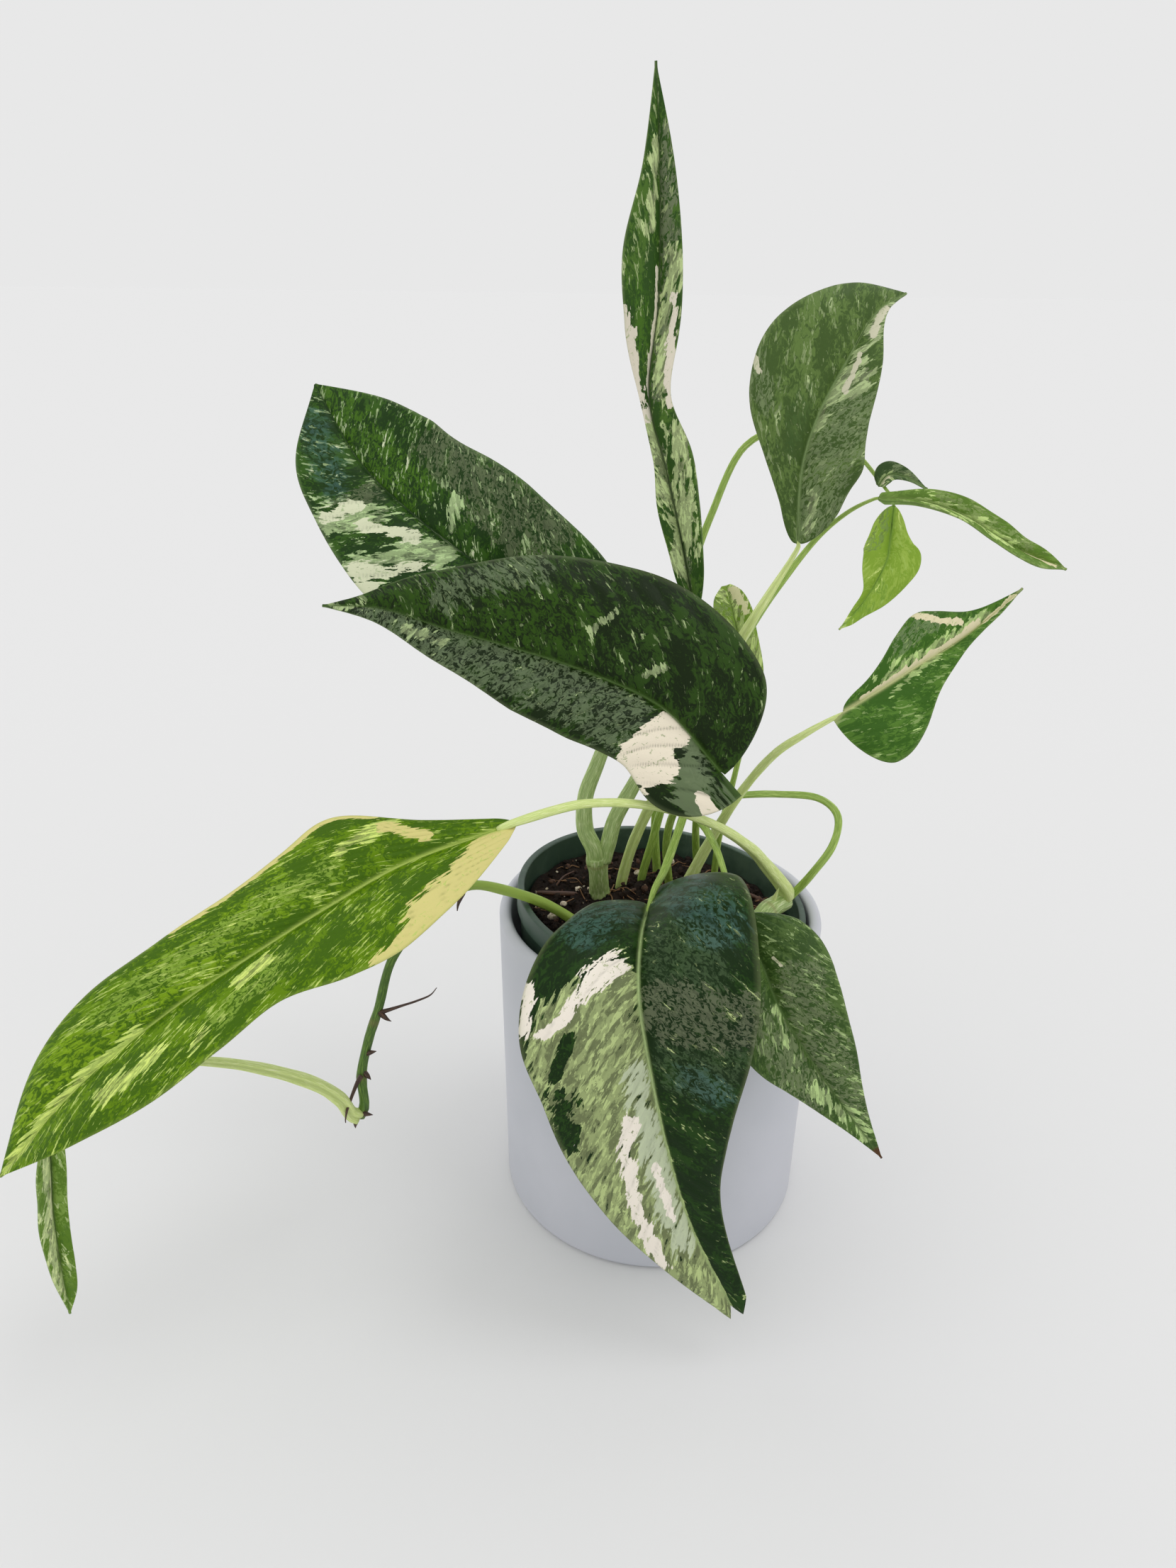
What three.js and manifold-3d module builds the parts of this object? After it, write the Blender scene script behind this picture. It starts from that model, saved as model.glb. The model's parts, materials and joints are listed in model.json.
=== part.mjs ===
// A potted pothos with long, variegated leaves. It grows in a plastic nursery pot,
// which stands a little askew inside a white ceramic cover pot.
// Millimetres, +Z up, origin at the middle of the cover pot's underside.
import * as THREE from "three";
import { mergeVertices } from "three/addons/utils/BufferGeometryUtils.js";
import Module from "manifold-3d";

const wasm = await Module();
wasm.setup();

// Driving dimensions
const clearance = 0.35; // air left between neighbouring pieces
const coverPot = {
  lip: 70, foot: 68.5, height: 144, wall: 5.2, floor: 6,
  edge: 2.6, footRound: 2, inside: 4, // radii of its rounded edges
};
const nurseryPot = {
  rim: 63, base: 46, height: 138.5, wall: 1.2, rimWidth: 3, rimDepth: 9,
  centre: [0.8, 0.2, 149.2], // middle of its rim
  leanX: 0.093, leanY: 0.016, // how far the rim falls towards +X and rises towards +Y
  rimRound: 0.8, raised: 2, floor: 4, // its middle stands raised inside a foot ring
  holes: 8, holeRadius: 5, holeCircle: 34,
};
const soil = {
  below: 11, // from the nursery pot's rim down to its edge
  lump: 1.2, crown: 2.5, slack: 0.8,
};
const bladeThickness = 0.9;
const bladeSteps = 15; // along a leaf
const bladeCamber = 0.1; // how far each half arches, as a share of its width
const leastHalfWidth = 0.5;
const lobeShare = 0.25; // the share of a leaf's length in which its base sweeps back
const stalkSides = 8;
const frameSteps = 200; // along a stalk, where its cross direction is known
const socketTop = 125; // a stalk that starts lower than this grows out of the soil
const fineBit = { steps: 5, sides: 6 }; // roots and litter are too thin to need more

const colours = {
  glaze: 0xe9e9ef, plastic: 0x2f4a38, soil: 0x2a1d18, bark: 0x6e4a3a, perlite: 0xe8dcc4,
  leaf: 0x3f6b34, paleLeaf: 0x8fae5a, stem: 0x9bb87a, vine: 0x4f7a3a, root: 0x5b4030,
};

// Small helpers
const vector = (p) => new THREE.Vector3(...p);

function curveThrough(points) {
  return new THREE.CatmullRomCurve3(points.map(vector), false, "catmullrom", 0.5);
}

// The sum of a shares of one direction and b shares of another.
function blend(first, a, second, b) {
  return first.clone().multiplyScalar(a).addScaledVector(second, b);
}

// A value part of the way along a short list of evenly spaced values.
function along(values, t) {
  if (values.length === 1) return values[0];
  return curveThrough(values.map((v, i) => [v, i, 0])).getPoint(t).x;
}

function closedGeometry(geometry) {
  geometry.deleteAttribute("normal");
  geometry.deleteAttribute("uv");
  return mergeVertices(geometry, 1e-3);
}

function solidOf(geometry) {
  const closed = closedGeometry(geometry);
  return new wasm.Manifold(new wasm.Mesh({
    numProp: 3,
    vertProperties: new Float32Array(closed.attributes.position.array),
    triVerts: new Uint32Array(closed.index.array),
  }));
}

function geometryOf(solid) {
  const mesh = solid.getMesh();
  const geometry = new THREE.BufferGeometry();
  geometry.setAttribute("position", new THREE.BufferAttribute(mesh.vertProperties, 3));
  geometry.setIndex(new THREE.BufferAttribute(mesh.triVerts, 1));
  return geometry;
}

function piece(name, geometry, color, roughness) {
  const material = new THREE.MeshStandardMaterial({ color, roughness, metalness: 0 });
  const mesh = new THREE.Mesh(geometry, material);
  mesh.name = name;
  return mesh;
}

// The leaning frame of the nursery pot and its soil, with the middle of the rim as its origin.
const potFrame = new THREE.Matrix4();
{
  const up = new THREE.Vector3(nurseryPot.leanX, -nurseryPot.leanY, 1).normalize();
  const turn = new THREE.Quaternion().setFromUnitVectors(new THREE.Vector3(0, 0, 1), up);
  potFrame.compose(vector(nurseryPot.centre), turn, new THREE.Vector3(1, 1, 1));
}

// Points of a quarter round from one angle to another, both in quarter turns.
function round(x, z, radius, from, to, steps = 4) {
  return Array.from({ length: steps + 1 }, (_, i) => {
    const angle = (from + ((to - from) * i) / steps) * (Math.PI / 2);
    return new THREE.Vector2(x + radius * Math.cos(angle), z + radius * Math.sin(angle));
  });
}

function turned(profile, segments) {
  return new THREE.LatheGeometry(profile, segments).rotateX(Math.PI / 2);
}

// Pots and soil
function makeCoverPot() {
  const { lip, foot, height, wall, floor, edge, footRound, inside } = coverPot;
  const profile = [
    new THREE.Vector2(0, 0),
    ...round(foot - footRound, footRound, footRound, -1, 0, 3),
    ...round(lip - edge, height - edge, edge, 0, 2, 6),
    ...round(foot - wall - inside, floor + inside, inside, 0, -1, 3),
    new THREE.Vector2(0, floor),
  ];
  return turned(profile, 48);
}

function makeNurseryPot() {
  const { rim, base, height, wall, rimWidth, rimDepth, rimRound, raised, floor } = nurseryPot;
  const { holes, holeRadius, holeCircle } = nurseryPot;
  const body = rim - rimWidth + wall;
  const ringWidth = 8;
  const profile = [
    new THREE.Vector2(0, -height + raised),
    new THREE.Vector2(base - ringWidth, -height + raised),
    new THREE.Vector2(base - ringWidth + 3, -height),
    ...round(base - raised, -height + raised, raised, -1, 0, 2),
    new THREE.Vector2(body, -rimDepth - 1.5),
    new THREE.Vector2(rim - 0.4, -rimDepth),
    ...round(rim - rimRound, -rimRound, rimRound, 0, 1, 2),
    ...round(rim - rimWidth + rimRound, -rimRound, rimRound, 1, 2, 2),
    new THREE.Vector2(body - wall, -rimDepth),
    new THREE.Vector2(base - wall, -height + floor),
    new THREE.Vector2(0, -height + floor),
  ];
  let pot = solidOf(turned(profile, 48));
  for (let i = 0; i < holes; i++) {
    const angle = (2 * Math.PI * i) / holes;
    const drill = new THREE.CylinderGeometry(holeRadius, holeRadius, 3 * floor, 12).rotateX(Math.PI / 2);
    drill.translate(holeCircle * Math.cos(angle), holeCircle * Math.sin(angle), -height + floor - 1);
    pot = pot.subtract(solidOf(drill));
  }
  return geometryOf(pot).applyMatrix4(potFrame);
}

// The gentle unevenness of the soil's top.
function soilLevel(x, y) {
  const broad = Math.sin(x * 0.19 + 1) * Math.cos(y * 0.23);
  const narrow = 0.6 * Math.sin(x * 0.41 - y * 0.37);
  return soil.lump * (broad + narrow);
}

function makeSoil(sockets) {
  const { rim, base, height, rimWidth, rimDepth, wall, floor } = nurseryPot;
  const bottom = -height + floor + clearance;
  const spread = (rim - rimWidth - base + wall) / (height - floor - rimDepth);
  const inner = (z) => base - wall + spread * (z + height - floor);
  const edge = -soil.below;
  const topRadius = Math.min(inner(edge), rim - rimWidth) - soil.slack;
  const rings = [1, 0.85, 0.68, 0.5, 0.34, 0.17];
  const profile = [
    new THREE.Vector2(0, bottom),
    new THREE.Vector2(inner(bottom) - soil.slack, bottom),
    ...rings.map((share) => new THREE.Vector2(topRadius * share, edge + soil.crown * (1 - share))),
    new THREE.Vector2(0, edge + soil.crown),
  ];
  const block = turned(profile, 40);
  const place = block.attributes.position;
  for (let i = 0; i < place.count; i++) {
    const isTop = place.getZ(i) > edge - 1;
    if (isTop) place.setZ(i, place.getZ(i) + soilLevel(place.getX(i), place.getY(i)));
  }
  let body = solidOf(block.applyMatrix4(potFrame));
  for (const socket of sockets) body = body.subtract(solidOf(socket));
  return geometryOf(body);
}

// A stalk: a round bar bent along its route, with a radius that changes along it.
// extra makes it that much thicker and longer at each end, which is the room that it needs.
function makeStalk({ route, radii, steps = 12, sides = stalkSides }, extra = 0) {
  const path = curveThrough(route);
  const first = path.points[0];
  const last = path.points[path.points.length - 1];
  first.addScaledVector(first.clone().sub(path.points[1]).normalize(), extra);
  last.addScaledVector(last.clone().sub(path.points[path.points.length - 2]).normalize(), extra);
  const frames = path.computeFrenetFrames(frameSteps, false);
  const bar = new THREE.CylinderGeometry(1, 1, 1, sides, steps).rotateX(Math.PI / 2);
  const place = bar.attributes.position;
  for (let i = 0; i < place.count; i++) {
    const t = THREE.MathUtils.clamp(place.getZ(i) + 0.5, 0, 1);
    const frame = Math.round(t * frameSteps);
    const radius = along(radii, t) + extra;
    const point = path.getPointAt(t);
    point.addScaledVector(frames.normals[frame], place.getX(i) * radius);
    point.addScaledVector(frames.binormals[frame], place.getY(i) * radius);
    place.setXYZ(i, point.x, point.y, point.z);
  }
  return bar;
}

// A leaf blade: a thin slab laid along its midrib. face is the way its upper side looks,
// left and right are its half widths, fold is how far each half rises from flat, in degrees,
// and lobe is how far the base sweeps back past the stalk.
function makeBlade(blade) {
  const { rib, face, left, right, fold = [8], foldLeft = fold, foldRight = fold } = blade;
  const { lobeLeft = 0, lobeRight = 0, round: start = 0.1 } = blade;
  const midrib = curveThrough(rib);
  const facing = curveThrough(face.length > 1 ? face : [...face, ...face]);
  const slab = new THREE.BoxGeometry(1, 1, 1, bladeSteps, 4, 1);
  const place = slab.attributes.position;

  const surface = (t, u) => {
    const side = Math.sign(u);
    const reach = Math.abs(u);
    const tangent = midrib.getTangent(t);
    const normal = facing.getPoint(t);
    normal.addScaledVector(tangent, -normal.dot(tangent)).normalize();
    const across = new THREE.Vector3().crossVectors(tangent, normal).multiplyScalar(side || 1);
    const begin = t < start ? Math.sqrt(1 - (1 - t / start) ** 2) : 1;
    const width = Math.max(leastHalfWidth, along(u > 0 ? right : left, t) * begin);
    const angle = THREE.MathUtils.degToRad(along(u > 0 ? foldRight : foldLeft, t));
    const outward = blend(across, Math.cos(angle), normal, Math.sin(angle));
    const raised = blend(normal, Math.cos(angle), across, -Math.sin(angle));
    const lobe = u > 0 ? lobeRight : lobeLeft;
    const back = lobe * reach ** 1.5 * Math.max(0, 1 - t / lobeShare) ** 2;
    return midrib.getPoint(t)
      .addScaledVector(outward, width * reach)
      .addScaledVector(raised, 4 * bladeCamber * width * reach * (1 - reach))
      .addScaledVector(tangent, -back);
  };

  const stepAlong = 0.004;
  const stepAcross = 0.02;
  for (let i = 0; i < place.count; i++) {
    const t = (place.getX(i) + 0.5) ** 1.25;
    const u = 2 * place.getY(i);
    const inner = THREE.MathUtils.clamp(t, stepAlong, 1 - stepAlong);
    const lean = THREE.MathUtils.clamp(Math.abs(u), stepAcross, 1 - stepAcross) * (Math.sign(u) || 1);
    const alongBlade = surface(inner + stepAlong, u).sub(surface(inner - stepAlong, u));
    const acrossBlade = surface(inner, lean + stepAcross).sub(surface(inner, lean - stepAcross));
    const up = alongBlade.cross(acrossBlade).normalize();
    const point = surface(t, u).addScaledVector(up, place.getZ(i) * bladeThickness);
    place.setXYZ(i, point.x, point.y, point.z);
  }
  return slab;
}

// Leaf blades, each from its stalk's end to its tip
const blades = {
  leaf_centre: {
    rib: [
      [18, -38, 224], [-4, -27, 245], [-32, -22, 257], [-58, -26, 267], [-84, -34, 277],
      [-104, -45, 287], [-122, -56, 291],
    ],
    face: [[-0.1, -0.8, 0.6], [-0.1, -0.75, 0.65], [-0.1, -0.7, 0.7]],
    left: [33, 28, 28, 28, 25, 18, 12, 6, 0],
    right: [28, 38, 44, 43, 37, 27, 16, 5, 0],
    lobeLeft: 12, lobeRight: 2,
  },
  leaf_upper_left: {
    rib: [
      [-15, 25, 244], [-45, 24, 268], [-78, 26, 287], [-106, 32, 307], [-126, 40, 325],
      [-144, 52, 353],
    ],
    face: [[-0.1, -0.8, 0.55], [-0.1, -0.8, 0.5], [-0.2, -0.85, 0.4]],
    left: [16, 24, 30, 36, 39, 35, 29, 21, 0],
    right: [18, 25, 32, 37, 37, 34, 32, 24, 0],
  },
  leaf_top: {
    rib: [
      [11, 22, 268], [4, 24, 299], [-3, 22, 325], [-11, 16, 353], [-9, 12, 385], [-10, 7, 420],
      [-13, 0, 456],
    ],
    face: [[-0.2, -0.95, 0.1], [-0.2, -0.95, 0.1], [0.1, -0.95, 0.1], [0.2, -0.95, 0.1]],
    left: [4, 6, 7, 4, 4, 13, 16, 7, 0],
    right: [5, 9, 12, 13, 9, 9, 8, 5, 0],
    fold: [25],
  },
  leaf_upper_right: {
    rib: [[50, 20, 298], [48, 14, 326], [52, 12, 347], [62, 16, 367], [72, 24, 382], [85, 34, 389]],
    face: [[-0.05, -0.9, 0.3], [0, -0.9, 0.4], [0, -0.8, 0.6]],
    left: [5, 8, 16, 27, 32, 29, 19, 8, 0],
    right: [10, 17, 22, 20, 17, 12, 6, 2, 0],
    fold: [14],
  },
  leaf_right_rolled: {
    rib: [[77, 8, 318], [91, 4, 318], [106, 0, 314], [119, -2, 307], [132, -2, 300], [149, -2, 294]],
    face: [[0, -0.7, 0.7], [0.2, -0.8, 0.5], [0.3, -0.8, 0.5]],
    left: [2, 3, 5, 6, 6, 6, 5, 4, 0],
    right: [2, 2, 3, 4, 5, 5, 6, 6, 0],
    fold: [35], round: 0.02,
  },
  leaf_right_wing: {
    rib: [[79, 19, 321], [83, 20, 325], [90, 20, 324], [98, 18, 320]],
    face: [[0, -0.9, 0.3]],
    left: [2, 5, 4, 2, 0],
    right: [2, 3, 2, 1, 0],
  },
  leaf_right_hanging: {
    rib: [[85, 15, 314], [85, 14, 300], [84, 12, 293], [79, 10, 282], [72, 8, 272], [67, 6, 267]],
    face: [[-0.2, -0.95, 0.2]],
    left: [3, 6, 11, 13, 11, 8, 4, 2, 0],
    right: [5, 8, 10, 10, 8, 3, 2, 1, 0],
    fold: [15],
  },
  leaf_right: {
    rib: [
      [66, -20, 242], [81, -19, 252], [94, -16, 260], [107, -12, 267], [121, -5, 275],
      [136, 4, 285],
    ],
    face: [[-0.2, -0.5, 0.85], [-0.3, -0.5, 0.8]],
    left: [3, 5, 9, 14, 17, 14, 7, 3, 0],
    right: [24, 27, 22, 14, 9, 5, 3, 2, 0],
    foldLeft: [32], foldRight: [-28, -26, -15, 5, 15], lobeRight: 5,
  },
  leaf_behind: {
    rib: [[36, 27, 226], [34, 29, 242], [30, 33, 259], [27, 37, 270], [25, 39, 276]],
    face: [[0.1, -0.9, 0.2]],
    left: [6, 9, 10, 10, 9, 9, 8, 6, 2],
    right: [5, 7, 8, 8, 8, 8, 7, 5, 2],
    fold: [15],
  },
  leaf_front: {
    rib: [
      [-8, -44, 167], [-12, -74, 171], [-13, -94, 160], [-8, -101, 132], [-1, -105, 101],
      [9, -108, 67], [27, -112, 29],
    ],
    face: [[0, -0.2, 0.9], [0, -0.6, 0.8], [0, -0.9, 0.4], [0.05, -0.95, 0.2], [0.05, -0.95, 0.2]],
    left: [32, 42, 44, 42, 36, 25, 16, 11, 0],
    right: [14, 24, 36, 44, 40, 36, 28, 17, 0],
    foldLeft: [38, 22, 8, 6, 4], foldRight: [16, 8, 6, 6, 4], lobeLeft: 19, lobeRight: 5,
  },
  leaf_front_right: {
    rib: [
      [27, -50, 168], [34, -69, 159], [40, -80, 147], [53, -86, 127], [67, -88, 107],
      [83, -90, 85],
    ],
    face: [[0.1, -0.7, 0.6], [0.1, -0.9, 0.4], [0.1, -0.95, 0.2]],
    left: [14, 22, 25, 24, 21, 17, 11, 5, 0],
    right: [16, 20, 22, 22, 20, 14, 9, 4, 0],
  },
  leaf_left: {
    rib: [
      [-67, -58, 207], [-95, -73, 203], [-120, -86, 193], [-146, -99, 180], [-172, -113, 166],
      [-200, -128, 146], [-225, -140, 119],
    ],
    face: [[-0.1, -0.6, 0.8], [-0.1, -0.6, 0.8], [-0.2, -0.6, 0.8]],
    left: [9, 24, 31, 29, 22, 25, 25, 16, 0],
    right: [3, 15, 29, 27, 24, 23, 23, 16, 0],
    round: 0.03,
  },
  leaf_vine_end: {
    rib: [[-221, -112, 126], [-225, -112, 98], [-228, -113, 75], [-229, -115, 50], [-228, -118, 29]],
    face: [[0.75, -0.65, 0]],
    left: [3, 4.5, 5, 5, 5, 5, 5, 4, 0],
    right: [3, 5, 8, 8, 8, 7, 5.5, 3, 0],
    fold: [30],
  },
};

// Stems and leaf stalks. A route that starts under the soil's top stands in a socket of the soil.
const stems = {
  main_stem: {
    route: [
      [-24, 14, 112], [-26, 12, 138], [-27, 6, 156], [-28, 3, 166],
    ],
    radii: [4.6, 4.6, 4.3, 4.4],
  },
  right_stem: {
    route: [
      [26, -34, 120], [31, -29, 138], [43, -14, 147], [54, -4, 149],
    ],
    radii: [3.2, 3, 3, 3.6],
  },
  trailing_vine: {
    route: [
      [-22, -14, 112], [-30, -13, 134], [-45, -16, 150], [-65, -20, 161], [-82, -24, 165],
      [-97, -33, 156], [-110, -42, 142], [-116, -49, 122], [-120, -53, 110], [-123, -58, 96],
      [-122, -62, 84], [-124, -64, 79],
    ],
    radii: [2.2, 2.2, 2.2, 2, 1.8, 1.8, 1.9, 2], steps: 22,
  },
};

const petioles = {
  petiole_upper_left: {
    route: [
      [-29, 3, 169], [-33, 5, 178], [-33, 7, 192], [-28, 11, 206], [-20, 19, 226], [-16, 24, 241],
    ],
    radii: [3.6, 3.2, 2.8, 2.2],
  },
  petiole_top: {
    route: [
      [-23, 4, 171], [-20, 5, 183], [-12, 7, 199], [0, 12, 221], [9, 19, 247], [11, 22, 266],
    ],
    radii: [3, 2.8, 2.4, 1.6],
  },
  petiole_upper_right: {
    route: [
      [-17, 20, 118], [-17, 19, 138], [-13, 17, 160], [-7, 16, 178], [2, 15, 200], [18, 11, 237],
      [31, 9, 266], [40, 12, 281], [50, 19, 296],
    ],
    radii: [2.4, 2.2, 2, 1.6],
  },
  petiole_rolled: {
    route: [
      [-7, 29, 118], [-7, 28, 138], [-3, 25, 160], [4, 24, 190], [18, 22, 230], [34, 22, 262],
      [43, 22, 278], [58, 26, 298], [69, 22, 310], [77, 11, 317.5],
    ],
    radii: [2, 1.8, 1.6, 1.4],
  },
  petiole_hanging: {
    route: [
      [1, 38, 118], [1, 37, 138], [-1, 34, 165], [0, 34, 195], [3, 38, 240], [10, 41, 279],
      [18, 44, 305], [30, 48, 331], [50, 48, 339], [70, 36, 333], [82, 20, 320], [85, 16, 315.5],
    ],
    radii: [2, 1.8, 1.6, 1.3], steps: 16,
  },
  petiole_centre: {
    route: [
      [7, 26, 118], [6, 25, 138], [3, 14, 165], [4, 3, 185], [8, -14, 203], [14, -29, 217],
      [17, -36, 222],
    ],
    radii: [2, 1.8, 1.7, 1.6],
  },
  petiole_front: {
    route: [
      [21, 40, 118], [20, 38, 138], [17, 26, 165], [15, 12, 188], [11, 2, 194], [6, -8, 184],
      [0, -21, 173], [-5, -34, 170],
    ],
    radii: [1.8, 1.7, 1.6, 1.7],
  },
  petiole_right: {
    route: [
      [8, 10, 118], [9, 8, 138], [14, 6, 155], [24, 1, 182], [33, -6, 204], [42, -15, 222],
      [52, -19, 232], [61, -20, 238.4],
    ],
    radii: [3, 2.8, 2.2, 1.8, 1.6],
  },
  petiole_behind: {
    route: [
      [28, 30, 118], [27, 29, 138], [28, 27, 165], [33, 27, 195], [37, 27, 223],
    ],
    radii: [1.6, 1.5, 1.3],
  },
  petiole_left: {
    route: [
      [53.5, -6.6, 155], [44, -9, 168], [34, -18, 182], [17, -30, 198], [-7, -42, 211],
      [-33, -49, 215], [-57, -56, 211], [-65, -57.5, 208],
    ],
    radii: [3.6, 2.6, 2, 1.8, 1.8, 1.8],
  },
  petiole_front_right: {
    route: [
      [58, -3, 152], [64, -7, 164], [72, -4, 176], [75, 6, 185], [67, 13, 190], [50, 14, 191],
      [37, 11, 192], [28, 12, 190], [19, 9, 187], [15, 0, 186], [17, -14, 187], [20, -29, 185],
      [23, -41, 178], [26, -48.5, 170],
    ],
    radii: [1.8, 1.6, 1.5, 1.5], steps: 20,
  },
  petiole_vine_end: {
    route: [
      [-127, -66, 83], [-130, -70, 94], [-139, -74, 105], [-155, -82, 118], [-171, -92, 129],
      [-192, -104, 138], [-210, -111, 139], [-220, -112, 128],
    ],
    radii: [2.6, 2.2, 1.6, 1.3],
  },
};

// Aerial roots on the vine, thin rootlets and bits on the soil
const roots = {
  vine_root_nib: { route: [[-84, -24, 160.5], [-85, -24, 157], [-85.5, -25, 154]], radii: [0.9, 0.4] },
  vine_root_upper: {
    route: [
      [-112, -50, 122], [-106, -51, 125], [-100, -52, 128], [-91, -54, 136],
    ],
    radii: [0.9, 0.6, 0.4],
  },
  vine_root_lower: {
    route: [
      [-124, -61, 96], [-125, -70, 91], [-127, -75, 86], [-128, -76, 78],
    ],
    radii: [0.9, 0.7, 0.4],
  },
};

// What lies half sunk in the top of the soil
const litter = {
  bark_strip: { route: [[-54, 7, 144.8], [-43, 8, 143.5], [-31, 9, 142.5]], radii: [0.8, 1.1, 0.7] },
  twig_right: { route: [[38, 24, 137], [44, 20, 136.5], [50, 16, 135.5]], radii: [0.7, 0.9, 0.6] },
  rootlet_left: {
    route: [
      [-47, 12, 143.5], [-44, 16, 145.5], [-42, 21, 145], [-38, 28, 144],
    ],
    radii: [0.5, 0.4],
  },
};
const crumbs = [
  [7.6, 45.5, 140, 1.9], [-8, 32, 141, 1.7], [-35.7, 11.5, 143.6, 1.5], [-46.6, -13, 144, 1.8],
  [-42, -2, 144, 1.3], [30, -38, 137, 1.6],
];

// A crumb of perlite: a lumpy grain, a little flattened.
function makeCrumb([x, y, z, radius], extra = 0) {
  const grain = new THREE.IcosahedronGeometry(radius + extra, 1);
  return grain.scale(1.1, 0.9, 0.8).translate(x, y, z);
}

const plant = new THREE.Group();
const sockets = [];
for (const group of [stems, petioles]) {
  for (const stalk of Object.values(group)) {
    if (stalk.route[0][2] < socketTop) sockets.push(makeStalk(stalk, clearance));
  }
}
for (const bit of Object.values(litter)) sockets.push(makeStalk({ ...bit, ...fineBit }, clearance));
for (const crumb of crumbs) sockets.push(makeCrumb(crumb, clearance));
plant.add(
  piece("cover_pot", makeCoverPot(), colours.glaze, 0.35),
  piece("nursery_pot", makeNurseryPot(), colours.plastic, 0.5),
  piece("potting_soil", makeSoil(sockets), colours.soil, 0.95),
);
function addAll(group, build, color, roughness) {
  for (const [name, shape] of Object.entries(group)) {
    plant.add(piece(name, build(shape), color, roughness));
  }
}

const makeBit = (bit) => makeStalk({ ...bit, ...fineBit });
addAll(blades, makeBlade, colours.leaf, 0.4);
addAll({ main_stem: stems.main_stem, right_stem: stems.right_stem }, makeStalk, colours.stem, 0.55);
addAll({ trailing_vine: stems.trailing_vine }, makeStalk, colours.vine, 0.55);
addAll(petioles, makeStalk, colours.paleLeaf, 0.5);
addAll(roots, makeBit, colours.root, 0.8);
addAll(litter, makeBit, colours.bark, 0.9);
crumbs.forEach((crumb, i) => {
  plant.add(piece(`perlite_${i + 1}`, makeCrumb(crumb), colours.perlite, 0.9));
});

export default plant;
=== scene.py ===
# A potted pothos: fine leaves, stalks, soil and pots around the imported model.
import json
import math

import bpy
import numpy as np
from mathutils import Matrix, Quaternion, Vector, noise

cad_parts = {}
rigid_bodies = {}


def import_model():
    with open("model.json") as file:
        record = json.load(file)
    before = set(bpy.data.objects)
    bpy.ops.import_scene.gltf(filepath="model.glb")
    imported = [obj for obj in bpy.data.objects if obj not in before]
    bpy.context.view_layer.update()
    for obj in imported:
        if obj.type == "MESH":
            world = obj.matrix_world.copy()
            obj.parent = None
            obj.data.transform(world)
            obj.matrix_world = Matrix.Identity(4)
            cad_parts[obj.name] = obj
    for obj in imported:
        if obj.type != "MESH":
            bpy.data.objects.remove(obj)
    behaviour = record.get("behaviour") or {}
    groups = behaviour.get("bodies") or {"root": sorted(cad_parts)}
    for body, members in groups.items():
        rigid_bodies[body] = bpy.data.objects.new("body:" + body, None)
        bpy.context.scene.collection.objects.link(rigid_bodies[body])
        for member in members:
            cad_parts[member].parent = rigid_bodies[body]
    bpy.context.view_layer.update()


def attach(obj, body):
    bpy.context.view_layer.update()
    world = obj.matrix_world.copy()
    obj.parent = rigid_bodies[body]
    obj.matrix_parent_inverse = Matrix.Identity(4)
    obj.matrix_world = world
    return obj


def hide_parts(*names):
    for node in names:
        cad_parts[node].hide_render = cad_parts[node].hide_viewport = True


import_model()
mm = 0.001


# Curves, the same ones that the solids follow
def curveAt(points, t):
    pts = np.asarray(points, float)
    if pts.ndim == 1:
        pts = pts[:, None]
    if len(pts) == 1:
        return np.repeat(pts, np.size(t), axis=0)
    padded = np.vstack([2 * pts[0] - pts[1], pts, 2 * pts[-1] - pts[-2]])
    place = np.clip(np.asarray(t, float).ravel(), 0, 1) * (len(pts) - 1)
    i = np.minimum(place.astype(int), len(pts) - 2)
    w = (place - i)[:, None]
    before, here, there, after = padded[i], padded[i + 1], padded[i + 2], padded[i + 3]
    leave, arrive = (there - before) / 2, (after - here) / 2
    return (
        here
        + leave * w
        + (3 * (there - here) - 2 * leave - arrive) * w**2
        + (2 * (here - there) + leave + arrive) * w**3
    )


def along(values, t):
    return curveAt(values, t)[:, 0]


def unit(v):
    return v / np.maximum(np.linalg.norm(v, axis=-1, keepdims=True), 1e-12)


def evenSteps(points, t):
    # t by length along the curve, turned into t by control points
    fine = np.linspace(0, 1, 400)
    run = np.concatenate([[0], np.cumsum(np.linalg.norm(np.diff(curveAt(points, fine), axis=0), axis=1))])
    return np.interp(t, run / run[-1], fine)


def bump(x, width):
    return np.exp(-((x / width) ** 2))


# Handling meshes
def deselectAll():
    for o in bpy.context.view_layer.objects:
        o.select_set(False)


def getCo(mesh):
    co = np.empty(len(mesh.vertices) * 3)
    mesh.vertices.foreach_get("co", co)
    return co.reshape(-1, 3)


def setCo(mesh, co):
    mesh.vertices.foreach_set("co", np.asarray(co, float).ravel())
    mesh.update()


def writeValues(mesh, name, values):
    values = np.asarray(values, np.float32)
    if values.ndim == 1:
        mesh.attributes.new(name, "FLOAT", "POINT").data.foreach_set("value", values)
    else:
        mesh.attributes.new(name, "FLOAT_VECTOR", "POINT").data.foreach_set("vector", values.ravel())


def applyModifier(obj, kind, **settings):
    modifier = obj.modifiers.new(kind.lower(), kind)
    for key, value in settings.items():
        setattr(modifier, key, value)
    bpy.context.view_layer.objects.active = obj
    bpy.ops.object.modifier_apply(modifier=modifier.name)


def smooth(obj):
    obj.data.polygons.foreach_set("use_smooth", [True] * len(obj.data.polygons))
    obj.data.update()


def finishPiece(obj, slot, material, *nodes):
    obj.data.materials.clear()
    obj.data.materials.append(material)
    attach(obj, "root")
    if nodes:
        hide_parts(*nodes)
    return obj


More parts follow.
